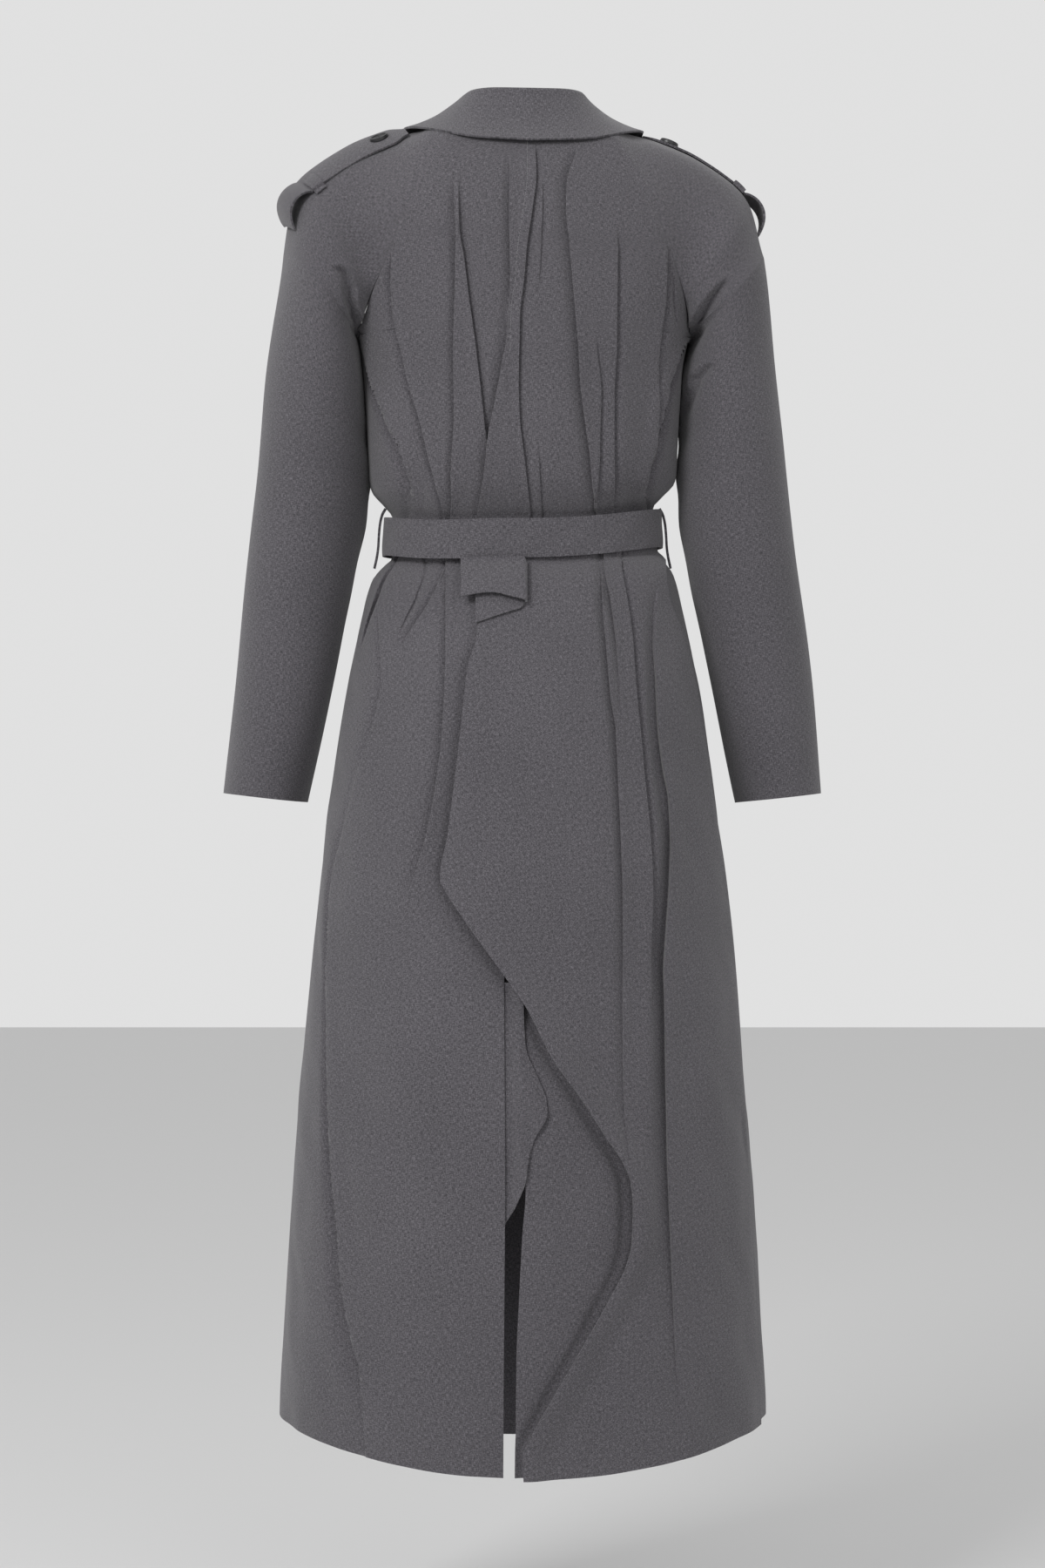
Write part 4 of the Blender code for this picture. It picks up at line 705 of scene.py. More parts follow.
def hollows(points, rows):
    # soft dents, each at a place as it is seen: x, z, half width, half height, depth (mm)
    x, z = seenFrom(points)
    total = np.zeros(len(points))
    for middleX, middleZ, halfWidth, halfHeight, depth in rows:
        away = ((x * 1000 - middleX) / halfWidth) ** 2 + ((z * 1000 - middleZ) / halfHeight) ** 2
        total -= depth / 1000 * np.exp(-away)
    return total


backHollows = (
    (-104, -335, 15, 26, 5.0), (106, -344, 13, 20, 5.0), (84, -352, 6, 12, 2.5),
    (-60, -345, 10, 16, 2.0), (30, -345, 16, 14, 1.5), (-20, -345, 14, 14, 1.5),
    (-100, -150, 30, 70, 1.6), (0, -110, 34, 60, 1.5), (115, -230, 12, 60, 1.5),
    (-95, -415, 12, 18, 2.5), (-30, -408, 20, 10, 1.5),
)


def seamGroove(fromSeam):
    return coat["grooveDepth"] * (1 - rise(fromSeam, 0.0, coat["grooveWidth"]))


def backGrid(side):
    names = backPanels["left" if side < 0 else "right"]
    grid = []
    for level in panelLevels(coat["neck"], backPanels["rowSpacing"]):
        section = BodySection(level)
        centre = section.whereSeen(folds["centre"]["rows"]) - backPanels["centreSeamInset"]
        free = section.whereSeen(leftVentEdge if side < 0 else rightVentEdge)
        middle = centre if level > coat["belt"] else free
        gap = coat["seamGap"] / 2
        first, last = -section.backEdge + gap, middle - gap
        if side > 0:
            first, last = middle + gap, section.backEdge - gap
        places = foldPlaces(section, names)
        sidePlaces = foldPlaces(section, [backPanels["side"][side]])
        ways = spreadColumns(first, last, backPanels["columns"], places)
        height, shift = foldedCloth(ways, places)
        height += wander(ways, level, 1.0 + side, backPanels["wander"])
        height += hollows(section.at(ways), backHollows)
        # pressed in beside the over-panel's free edge
        press = backPanels["edgePress"]
        beside = section.whereSeen(drapeEdge) - ways - press["away"]
        pressed = press["depth"] * np.exp(-(beside / press["halfWidth"]) ** 2)
        height -= pressed * rise(level, *press["levels"])
        edge = last if side > 0 else first
        fromEdge = np.abs(edge - ways)
        height *= rise(fromEdge, 0.0, backPanels["seamFade"])
        sideHeight, sideShift = foldedCloth(ways, sidePlaces)
        height += sideHeight * rise(fromEdge, 0.0, backPanels["sideFade"])
        shift = (shift + sideShift) * rise(fromEdge, 0.0, backPanels["shiftFade"])
        height -= seamGroove(fromEdge)
        if level > coat["belt"]:
            fromCentre = np.abs(middle - ways)
            height *= rise(fromCentre, *backPanels["centreFade"])
            shift *= rise(fromCentre, *backPanels["centreFade"])
            height -= seamGroove(fromCentre)
        grid.append(section.at(ways + shift, height))
    return grid


clothPiece("backLeft", "back_left", backGrid(-1), restsOn=["sleeveLeft", "frontLeft"])
clothPiece("backRight", "back_right", backGrid(1), restsOn=["sleeveRight", "frontRight"])
print("back panels done")


def refined(grid, count):
    # smooth curves through each row's points
    grid = np.asarray(grid, float)
    last = grid.shape[1] - 1
    before = 2 * grid[:, :1] - grid[:, 1:2]
    after = 2 * grid[:, -1:] - grid[:, -2:-1]
    padded = np.concatenate([before, grid, after], 1)
    at = np.linspace(0, last, count)
    i = np.minimum(at.astype(int), last - 1)
    t = (at - i)[None, :, None]
    a, b, c, d = (padded[:, i + k] for k in range(4))
    return 0.5 * (
        2 * b + (c - a) * t + (2 * a - 5 * b + 4 * c - d) * t * t + (3 * b - a - 3 * c + d) * t ** 3
    )


# The fronts: double-breasted, the wearer's right over the left, held by the belt
fronts = {
    "rowSpacing": 0.0042,
    "columns": 78,
    "foldLip": 0.0030,
    "leastDepth": 0.00005,
    "fullDepth": 0.002,       # a fold this deep draws the columns close in full
    "wander": 0.0009,
    "coveredTo": -0.33,       # the upper front, by the lapel; the under one all the way
    "flattened": {1: 0.75, -1: 0.90},
    "coveredShift": 0.3,
    "edgeColumns": ("level", "pastMiddle"),
    "edge": (
        (-0.012, -0.066), (-0.060, -0.050), (-0.120, -0.028), (-0.200, 0.003), (-0.280, 0.036),
        (-0.345, 0.058), (-0.400, 0.064), (-0.700, 0.072), (-1.300, 0.082),
    ),
    "wrapFrom": (0.120, 0.085),
    "wrapColumns": ("level", "offset"),
    "wrap": (
        (-0.012, 0.0), (-0.120, 0.0), (-0.180, 0.0070), (-0.320, 0.0070), (-0.3500, 0.0042),
        (-0.400, 0.0042), (-0.450, 0.0048), (-1.300, 0.0048),
    ),
}
# Creases of the fronts: x from the middle to the wearer's own side and level (mm), depth and
# reach (mm). highSide 1 is towards the side seam.
frontFolds = {
    "sideDrag": {"highSide": -1, "rows": (
        (150, -150, 0, 10), (146, -175, 2.5, 14), (138, -215, 6, 18), (128, -260, 6.5, 20),
        (116, -300, 5, 18), (104, -335, 3, 12), (100, -356, 1, 8), (100, -380, 0, 8),
    )},
    "bust": {"highSide": 1, "rows": (
        (112, -70, 0, 8), (112, -95, 2, 10), (104, -150, 3, 12), (92, -220, 3.4, 12),
        (78, -285, 3.6, 11), (68, -335, 3, 9), (64, -356, 1.6, 6), (62, -380, 0, 6),
    )},
    "gather": {"highSide": -1, "rows": (
        (60, -210, 0, 8), (52, -245, 1.4, 9), (42, -290, 2.6, 9), (36, -335, 2.8, 8), (34, -358, 1, 6),
        (34, -380, 0, 6),
    )},
    "skirtSide": {"highSide": 1, "rows": (
        (100, -388, 0, 7), (104, -398, 2.2, 8), (116, -440, 3.4, 12), (128, -500, 3.4, 14),
        (138, -580, 2.6, 16), (148, -680, 1.2, 16), (156, -760, 0, 16),
    )},
    "skirtMiddle": {"highSide": -1, "rows": (
        (66, -388, 0, 7), (68, -398, 2.2, 8), (74, -450, 3.0, 11), (84, -530, 2.8, 13),
        (96, -640, 1.6, 14), (104, -740, 0, 14),
    )},
    "skirtNear": {"highSide": 1, "rows": (
        (34, -388, 0, 7), (34, -400, 1.6, 8), (30, -450, 2.4, 10), (26, -520, 1.8, 12),
        (24, -600, 0, 12),
    )},
    "hemWave": {"highSide": 1, "rows": (
        (120, -700, 0, 24), (122, -800, 2, 28), (128, -950, 4, 32), (134, -1100, 5.5, 36),
        (138, -1300, 6, 38),
    )},
}


def rightward(grid, side):
    # the columns of a front piece run the other way on the left
    return np.array(grid)[:, ::side]


def frontEdgeWay(section):
    past = byLevel(fronts["edge"], fronts["edgeColumns"], "pastMiddle", section.level)
    return section.frontWay(-past)


def frontPlaces(section):
    places = []
    for fold in frontFolds.values():
        rows = fold["rows"]
        if not rows[-1][1] / 1000 <= section.level <= rows[0][1] / 1000:
            continue
        x, depth, reach = (
            float(alongLine(rows, name, section.level)) for name in ("x", "depth", "reach")
        )
        if depth > fronts["leastDepth"]:
            weight = min(depth / fronts["fullDepth"], 1.0)
            bottom = section.frontWay(x)
            places.append((bottom, depth, reach, -fold["highSide"], fronts["foldLip"], weight))
    return places


def wrapOffset(section, side, ways):
    if side < 0:
        return 0 * ways
    out = byLevel(fronts["wrap"], fronts["wrapColumns"], "offset", section.level)
    return out * rise(ways, *(section.frontWay(x) for x in fronts["wrapFrom"]))


def frontGrid(side):
    grid = []
    for level in panelLevels(coat["frontNeck"], fronts["rowSpacing"]):
        section = BodySection(level)
        first = section.frontEdge + coat["seamGap"] / 2
        last = frontEdgeWay(section)
        places = frontPlaces(section)
        ways = spreadColumns(first, last, fronts["columns"], places)
        height, shift = foldedCloth(ways, places)
        height += wander(ways, level, 2.7 + side, fronts["wander"])
        inside = rise(ways - first, 0.0, 0.012) * rise(last - ways, -0.004, 0.016)
        shift *= inside
        if side < 0 or level > fronts["coveredTo"]:
            # flat where the upper front or the lapel covers it
            covered = rise(ways, section.frontWay(0.095), section.frontWay(0.070))
            height *= 1 - fronts["flattened"][side] * covered
            shift *= fronts["coveredShift"]
        height *= inside
        height -= seamGroove(ways - first)
        out = wrapOffset(section, side, ways) + height
        grid.append(section.at((ways + shift) * side, out))
    return rightward(grid, side)


clothPiece("frontLeft", "front_left", frontGrid(-1), restsOn=["sleeveLeft", "backLeft"])
clothPiece("frontRight", "front_right", frontGrid(1), restsOn=["frontLeft", "backRight"])
print("fronts done")

# Lapels: turned back from the front edges over the chest
lapels = {
    "columns": ("level", "width"),
    "rows": (
        (-0.052, 0.030), (-0.070, 0.060), (-0.082, 0.070), (-0.092, 0.073), (-0.110, 0.070),
        (-0.160, 0.062), (-0.220, 0.046), (-0.270, 0.028), (-0.302, 0.010),
    ),
    "lift": 0.0022,
    "edgeLift": 0.0014,
    "rowSpacing": 0.0025,
    "inset": 0.0010,
    "rollWidth": 0.006,
    "rollDepth": 0.0006,
    "swell": 0.0012,
}


def lapelGrid(side):
    grid = []
    for level in levelsFrom(lapels["rows"][0][0], lapels["rows"][-1][0], lapels["rowSpacing"]):
        section = BodySection(level)
        width = byLevel(lapels["rows"], lapels["columns"], "width", level)
        edge = frontEdgeWay(section) - lapels["inset"]
        share = np.concatenate([np.linspace(1, 0.12, 30), np.linspace(0.12, 0, 9)[1:]])
        ways = edge - width * share
        rolled = 1 - rise(share * width, 0.0, lapels["rollWidth"])
        out = wrapOffset(section, side, ways) + coat["wall"] + lapels["lift"]
        out += lapels["edgeLift"] * rise(share, 0.55, 1.0) + lapels["swell"] * np.sin(np.pi * share)
        out -= lapels["rollDepth"] * rolled
        grid.append(section.at(ways * side, out))
    return rightward(grid, side)


clothPiece("lapelLeft", "lapel_left", lapelGrid(-1), restsOn=["frontLeft"], held="folded")
clothPiece("lapelRight", "lapel_right", lapelGrid(1), restsOn=["frontRight"], held="folded")
print("lapels done")

# The back skirt's over-panel: held at the belt and the right side seam, its other edge free
drape = {
    "rowSpacing": 0.0040,
    "columns": 150,
    "top": -0.380,
    "offset": 0.0042,
    "standing": 0.0050,
    "standingLevels": (-0.42, -0.75),
    "standingTo": 0.55,       # share of the width from the free edge
    "lifted": 0.0085,
    "liftedWidth": 0.035,
    "liftedLevels": ((0.45, -0.45, -0.52), (0.55, -0.68, -0.75)),    # each with its share
    "wander": 0.0012,
    "seamFade": 0.012,
    "edgeFadeFrom": -0.85,
    "folds": ("drapeInner", "drapeSecond", "drapeMiddle", "drapeValley"),
    "hollows": ((20, -408, 24, 10, 1.2), (150, -470, 14, 30, 1.2)),
}


def drapeGrid():
    grid = []
    for level in levelsFrom(drape["top"], coat["hem"], drape["rowSpacing"]):
        section = BodySection(level)
        first = section.whereSeen(drapeEdge)
        last = section.whereSeen(drapeSideEdge)
        span = last - first
        places = foldPlaces(section, drape["folds"])
        ways = spreadColumns(first, last, drape["columns"], places)
        held = 1 - rise(ways - first, span * drape["standingTo"], span)
        standing = drape["standing"] * rise(level, *drape["standingLevels"]) * held
        freeEdge = 1 - rise(ways - first, 0.0, drape["liftedWidth"])
        byNow = sum(share * rise(level, start, end) for share, start, end in drape["liftedLevels"])
        lifted = drape["lifted"] * freeEdge * byNow
        height, shift = foldedCloth(ways, places)
        height += hollows(section.at(ways), drape["hollows"])
        height += wander(ways, level, 4.2, drape["wander"]) * rise(level, -0.40, -0.50)
        fromSeam = rise(last - ways, 0.0, drape["seamFade"])
        fromFree = rise(ways - first, 0.0, drape["seamFade"])
        height *= fromSeam
        if level < drape["edgeFadeFrom"]:
            height *= fromFree
        shift *= fromSeam * fromFree
        grid.append(section.at(ways + shift, drape["offset"] + standing + lifted + height))
    return grid


clothPiece("drapePanel", "drape_panel", drapeGrid(), held="draped", restsOn=["backRight", "backLeft"],
           material=biasGrain)
print("drape done")

# The underlap that shows through the vent: over the right panel and under the left one
underlap = {
    "top": -0.800,
    "bottom": -1.046,
    "rowSpacing": 0.0030,
    "columns": 34,
    "clearance": 0.0010,
    "risesOver": (0.002, 0.016),
    "wave": {"height": 0.0012, "across": 0.0050, "down": 0.011},
}


def underlapGrid():
    grid = []
    wave = underlap["wave"]
    for level in levelsFrom(underlap["top"], underlap["bottom"], underlap["rowSpacing"]):
        section = BodySection(level)
        first = section.whereSeen(underlapInner)
        last = section.whereSeen(underlapEdge)
        ways = np.linspace(first, last, underlap["columns"])
        leftEdge = section.whereSeen(leftVentEdge)
        rising = rise(ways - leftEdge, *underlap["risesOver"])
        under = -coat["wall"] - underlap["clearance"]
        over = coat["wall"] + underlap["clearance"]
        waves = 1 + np.sin(ways / wave["across"] + level / wave["down"])
        grid.append(section.at(ways, under + (over - under) * rising + wave["height"] * rising * waves))
    return grid


clothPiece("ventUnderlap", "vent_underlap", underlapGrid(), restsOn=["backRight"])
print("underlap done")

# Sleeves: raglan, one piece each, with the top running from the neck over the shoulder
sleeves = {
    "half": 48,               # points of half a ring, for the straps
    "fineHalf": 160,          # and for the sleeve's own grid
    "stations": ((0, 0.8, 44), (0.8, 1.3, 84), (1.3, 2, 42)),    # start, end and rows
    "columns": 116,
    # columns are wider apart next to the back seam and the inner line, and closer beyond them
    "closer": {"by": 2.2, "fading": (0.07, 0.05), "steps": 200},
    # slow unevenness: height, turns round the sleeve, along it and by side
    "waves": ((0.0011, 2, 21, 1), (0.0008, 3, -33, 0), (0.0007, 1, 47, 2)),
    "waveLength": 0.33,
    "waveFade": 0.014,
    "foldFade": 0.005,
    "strapQuiet": 0.75,
    "elbow": {"height": 0.0010, "middle": 1.45, "spread": 0.20, "waves": 150},
    "foldLip": 0.0030,
    "ridgeColumns": ("x", "z"),
    "ridge": (
        (0.070, 0.0165), (0.090, 0.0135), (0.109, 0.0095), (0.125, 0.0060), (0.140, 0.0010),
        (0.161, -0.0075), (0.1785, -0.0175), (0.195, -0.0285), (0.209, -0.0395),
        (0.218, -0.0500), (0.2245, -0.0630), (0.2285, -0.0780), (0.2310, -0.0920),
        (0.2340, -0.1080),
    ),
    "rowColumns": ("innerX", "innerZ", "outerX", "outerZ", "halfDepth", "middleY"),
    "rows": (
        (0.1625, -0.1900, 0.2340, -0.1080, 0.0880, 0.000),
        (0.1566, -0.2150, 0.2400, -0.1580, 0.0830, 0.001),
        (0.1538, -0.2450, 0.2455, -0.2080, 0.0790, 0.002),
        (0.1520, -0.2800, 0.2510, -0.2560, 0.0755, 0.003),
        (0.1495, -0.3200, 0.2575, -0.3060, 0.0725, 0.005),
        (0.1545, -0.3700, 0.2645, -0.3600, 0.0695, 0.008),
        (0.1655, -0.4300, 0.2710, -0.4210, 0.0665, 0.012),
        (0.1785, -0.4950, 0.2780, -0.4860, 0.0635, 0.017),
        (0.1935, -0.5650, 0.2855, -0.5560, 0.0600, 0.022),
        (0.2110, -0.6400, 0.2932, -0.6310, 0.0565, 0.027),
    ),
    "headDepth": 0.0880,
    "roundPull": 4 / 3,
    "neckFullness": 0.25,
    "headFullness": 0.38,
    "ridgeFullness": 0.16,
    "neckExtra": 0.0005,
    "seamGap": 0.00012,
}


def sleeveArc(start, top, end, startWay, endWay, startPull, endPull, topPull, half):
    back = np.array((0, -1, 0.0))
    t = np.linspace(0, 1, half + 1)[:, None]

    def curve(a, b, c, d):
        return (1 - t) ** 3 * a + 3 * t * (1 - t) ** 2 * b + 3 * t * t * (1 - t) * c + t ** 3 * d

    first = curve(start, start + startWay * startPull, top + back * topPull, top)
    second = curve(top, top - back * topPull, end + endWay * endPull, end)
    return np.concatenate([first, second[1:]])


def bodySide(level, side):
    # a point of the raglan seam before the twist, and the body's outward normal there
    name = "back" if side < 0 else "front"
    halfWidth, power, depth = (
        byLevel(bodyRows, bodyColumns, n, level) for n in ("halfWidth", "power", name)
    )
    reach = min(byLevel(raglanRows, raglanColumns, "reach", level), halfWidth)
    share = reach / halfWidth
    y = depth * max(1 - share ** power, 0) ** (1 / power)
    nearNeck = float(rise(level, -0.06, coat["neck"]))
    lift = coat["neckLift"] * nearNeck * (reach / 0.07) ** 2 if side < 0 else 0
    normal = np.array((share ** (power - 1) / halfWidth, side * (y / depth) ** (power - 1) / depth, 0))
    step = 0.01
    below = byLevel(bodyRows, bodyColumns, name, level - step)
    normal[2] = (below - depth) / step * abs(normal[1])
    return np.array((reach, side * y, level + lift)), normal / np.linalg.norm(normal)


def ridgeWay():
    x, z = (column(sleeves["ridge"], sleeves["ridgeColumns"], name) for name in ("x", "z"))
    return summedFrom0(np.hypot(np.diff(x), np.diff(z)))


def ridgeShare(x):
    way = ridgeWay()
    return float(np.interp(x, column(sleeves["ridge"], sleeves["ridgeColumns"], "x"), way / way[-1]))


def sleeveRing(s, half=sleeves["half"]):
    # the right sleeve's ring: s is 0 at the neck, 1 at the underarm, 2 at the cuff
    if s >= 1:
        at = np.linspace(1, 2, len(sleeves["rows"]))
        innerX, innerZ, outerX, outerZ, halfDepth, middle = (
            float(smoothCurve(at, column(sleeves["rows"], sleeves["rowColumns"], name), s))
            for name in sleeves["rowColumns"]
        )
        start = np.array((innerX, middle, innerZ))
        top = np.array((outerX, middle, outerZ))
        pull = halfDepth * sleeves["roundPull"]
        back = np.array((0, -1, 0.0))
        return sleeveArc(start, top, start, back, -back, pull, pull, pull, half)
    way = ridgeWay() / ridgeWay()[-1]
    top = np.array((
        float(smoothCurve(way, column(sleeves["ridge"], sleeves["ridgeColumns"], "x"), s)), 0,
        float(smoothCurve(way, column(sleeves["ridge"], sleeves["ridgeColumns"], "z"), s)),
    ))
    ends = []
    for side, highest in ((-1, coat["neck"]), (1, coat["frontNeck"])):
        level = highest + (coat["underarm"] - highest) * s
        seam, normal = bodySide(level, side)
        toTop = top - seam
        flat = toTop - normal * float(toTop @ normal)
        flat /= np.linalg.norm(flat)
        share = float(rise(s, 0.55, 1.0))
        wayOut = flat * (1 - share) + np.array((0, side, 0.0)) * share
        wayOut /= np.linalg.norm(wayOut)
        full = sleeves["neckFullness"]
        full += (sleeves["headFullness"] - full) * float(rise(s, 0.0, 0.35))
        atUnderarm = sleeves["roundPull"] * max(sleeves["headDepth"] - abs(seam[1]), 0.0)
        pull = full * np.linalg.norm(toTop) * (1 - share) + atUnderarm * share
        gap = sleeves["seamGap"] + sleeves["neckExtra"] * (1 - float(rise(s, 0.0, 0.2)))
        seam = seam + wayOut * gap + np.array((sleeves["seamGap"] * share, 0, 0))
        ends.append((seam, wayOut, pull))
    (start, startWay, startPull), (end, endWay, endPull) = ends
    topPull = (
        sleeves["ridgeFullness"] * abs(start[1]) * (1 - s)
        + sleeves["headDepth"] * sleeves["roundPull"] * s
    )
    return sleeveArc(start, top, end, startWay, endWay, startPull, endPull, topPull, half)


# Creases of the sleeves as they are seen from behind (mm). The longest runs on over the raglan
# seam as the back's side fold.
sleeveFolds = {
    "left": (
        {"highSide": 1, "rows": (
            (-186, -119, 0, 6), (-180, -119.5, 3.5, 8), (-174, -121, 5.5, 10), (-169, -126, 7, 11),
            (-165, -145, 8, 13), (-161, -168, 9, 14), (-156, -190, 10, 16), (-150, -215, 10, 16),
            (-148, -235, 4, 12), (-147, -248, 0, 10),
        )},
        {"highSide": -1, "rows": (
            (-176, -134, 0, 5), (-173, -146, 2.2, 6), (-168, -163, 2.6, 6), (-163, -184, 0, 5),
        )},
    ),
    "right": (
        {"highSide": -1, "rows": (
            (203, -130, 0, 8), (197, -132, 3.5, 9), (190, -138, 6, 11), (182, -148, 8, 13),
            (174, -162, 9, 14), (167, -177, 9.5, 15), (160, -190, 10, 16), (150, -209, 10, 16),
            (146, -222, 4, 12), (143, -232, 0, 10),
        )},
        {"highSide": -1, "rows": (
            (189, -212, 0, 6), (179, -215, 4.0, 9), (168, -226, 6.0, 11), (163, -241, 6.0, 12),
            (158, -255, 4.4, 12), (154, -268, 1.8, 10), (151, -286, 0, 9),
        )},
    ),
}


def sleeveFoldHeights(grid, side):
    # by the distance from each line on the seen plane, since some lines run along the rings
    seenX, seenZ = seenFrom(grid)
    height = np.zeros(seenX.shape)
    for fold in sleeveFolds["right" if side > 0 else "left"]:
        rows = np.array(fold["rows"]) / 1000
        nearest = np.full(seenX.shape, 1.0)
        beyond, depth, reach = np.zeros(seenX.shape), np.zeros(seenX.shape), np.ones(seenX.shape)
        for a, b in zip(rows[:-1], rows[1:]):
            along = (b - a)[:2]
            length = np.hypot(*along)
            along /= length
            fromX, fromZ = seenX - a[0], seenZ - a[1]
            share = np.clip((fromX * along[0] + fromZ * along[1]) / length, 0, 1)
            across = fromZ * along[0] - fromX * along[1]
            distance = np.hypot(fromX - share * length * along[0], fromZ - share * length * along[1])
            closer = distance < nearest
            nearest = np.where(closer, distance, nearest)
            beyond = np.where(closer, np.where(across < 0, -distance, distance), beyond)
            depth = np.where(closer, a[2] + (b[2] - a[2]) * share, depth)
            reach = np.where(closer, a[3] + (b[3] - a[3]) * share, reach)
        height += foldProfile(beyond * fold["highSide"], depth, reach, sleeves["foldLip"])
    return height


def gridNormals(grid, joined):
    down = np.gradient(grid, axis=0)
    across = np.gradient(grid, axis=1)
    closedRows = np.flatnonzero(joined)
    if len(closedRows):
        seam = (grid[closedRows, 1] - grid[closedRows, -2]) / 2
        across[closedRows, 0] = seam
        across[closedRows, -1] = seam
    normals = np.cross(down, across)
    return normals / np.linalg.norm(normals, axis=-1)[..., None]


def sleeveGrid(side):
    stations = np.concatenate([np.linspace(*part)[:-1] for part in sleeves["stations"]] + [[2]])
    closer, elbow = sleeves["closer"], sleeves["elbow"]
    rings = []
    allWays = []
    for s in stations:
        ring = sleeveRing(s, sleeves["fineHalf"])
        if side < 0:
            ring = ring * np.array((-1, 1, 1))
        ring = twisted(ring)
        dense = summedFrom0(stepLengths(ring, 0))
        whole = dense[-1]
        at = np.linspace(0, whole, closer["steps"])
        count = summedFrom0(np.diff(at) * (1 + closer["by"] * (1 - rise(at[1:], *closer["fading"]))))
        ways = np.interp(np.linspace(0, count[-1], sleeves["columns"] + 1), count, at)
        rings.append(pointsAlong(ways, dense, ring))
        allWays.append(ways)
    grid = np.array(rings)
    foldHeights = sleeveFoldHeights(grid, side)
    normals = gridNormals(grid, stations >= 1) * side
    # only on the back half
    foldHeights *= rise(-normals[..., 1], -0.1, 0.3)
    heights = []
    for s, ways, height in zip(stations, allWays, foldHeights):
        whole = ways[-1]
        fromEdge = np.minimum(ways, whole - ways)
        height = height * rise(fromEdge, 0.0, sleeves["foldFade"])
        turn = 2 * np.pi * ways / whole
        length = s * sleeves["waveLength"]
        slow = sum(
            high * np.sin(turn * turns + length * along + side * phase)
            for high, turns, along, phase in sleeves["waves"]
        )
        atElbow = elbow["height"] * math.exp(-((s - elbow["middle"]) / elbow["spread"]) ** 2)
        drawn = np.sin(length * elbow["waves"] + 2.0 * np.sin(turn))
        slow += atElbow * drawn * np.cos(turn / 2) ** 2
        # quieter under the strap, and flat where it lies against the body
        underStrap = rise(1.05 - s, 0, 0.15) * rise(np.abs(ways - whole / 2), 0.055, 0.030)
        slow *= 1 - sleeves["strapQuiet"] * underStrap
        against = (1 - rise(s, 1.25, 1.45)) * (1 - rise(fromEdge, 0.004, 0.020))
        height += slow * (1 - against) * (rise(fromEdge, 0.0, sleeves["waveFade"]) if s < 1 else 1)
        if s < 1:
            height -= seamGroove(fromEdge) * rise(1 - s, 0.0, 0.06)
        else:
            height[0] = height[-1] = (height[0] + height[-1]) / 2
        heights.append(height)
    return grid + normals * np.array(heights)[..., None]


clothPiece("sleeveLeft", "sleeve_left", sleeveGrid(-1), closed=True, flipped=True,
           restsOn=["backLeft", "frontLeft"])
clothPiece("sleeveRight", "sleeve_right", sleeveGrid(1), closed=True,
           restsOn=["backRight", "frontRight"])
print("sleeves done")

# The collar: a stand, a roll and a fall. Each row has x, y and z of the seam, of the roll line and
# of the outer edge, at places from the middle of the back to the front.
collar = {
    "wall": 0.0020,
    "turn": 0.0030,
    "hollow": 0.0035,
    "roll": ((-0.9, 1.6), (-0.4, 0.0), (0.7, 0.3)),       # outwards and down, in turns
    "fall": ((0.20, 0.4), (0.50, 1.0), (0.78, 0.7)),      # share of the fall and of the hollow
    "places": 73,
    "columns": 60,
    "rows": (
        (0.000, -0.0620, 0.0045, 0.000, -0.0670, 0.0440, 0.000, -0.0955, -0.0095),
        (0.036, -0.0560, 0.0080, 0.036, -0.0590, 0.0452, 0.052, -0.0905, -0.0065),
        (0.058, -0.0390, 0.0160, 0.054, -0.0380, 0.0458, 0.090, -0.0710, 0.0030),
        (0.067, -0.0050, 0.0215, 0.0595, -0.0040, 0.0450, 0.117, -0.0170, 0.0128),
        (0.066, 0.0240, 0.0120, 0.060, 0.0250, 0.0350, 0.119, 0.0400, 0.0085),
        (0.062, 0.0440, -0.0070, 0.057, 0.0470, 0.0100, 0.114, 0.0840, -0.0100),
        (0.056, 0.0620, -0.0330, 0.051, 0.0680, -0.0180, 0.100, 0.1080, -0.0420),
    ),
}


def collarRow(values):
    seam, roll, edge = (np.array(values[k:k + 3]) for k in (0, 3, 6))
    out = edge - roll
    out[2] = 0
    out /= np.linalg.norm(out)
    down = np.array((0, 0, -1.0))
    fall = edge - roll
    dip = np.cross(np.cross(fall, down), fall)
    dip /= np.linalg.norm(dip)
    turn, hollow = collar["turn"], collar["hollow"]
    rolled = [roll + out * turn * outwards + down * turn * lower for outwards, lower in collar["roll"]]
    falling = [roll + fall * share + dip * hollow * dipped for share, dipped in collar["fall"]]
    return [seam, seam * 0.5 + roll * 0.5] + rolled + falling + [edge]


def collarGrid():
    places = np.arange(len(collar["rows"]), dtype=float)
    half = []
    for at in np.linspace(0, places[-1], collar["places"]):
        values = [float(smoothCurve(places, [row[k] for row in collar["rows"]], at)) for k in range(9)]
        half.append(collarRow(values))
    half = np.array(half)
    whole = np.concatenate([(half * np.array((-1, 1, 1)))[:0:-1], half])
    return refined(twisted(whole), collar["columns"]).transpose(1, 0, 2)


clothPiece("collarPiece", "collar", collarGrid(), wall=collar["wall"], held="folded",
           restsOn=["backLeft", "backRight", "frontLeft", "frontRight"])
print("collar done")

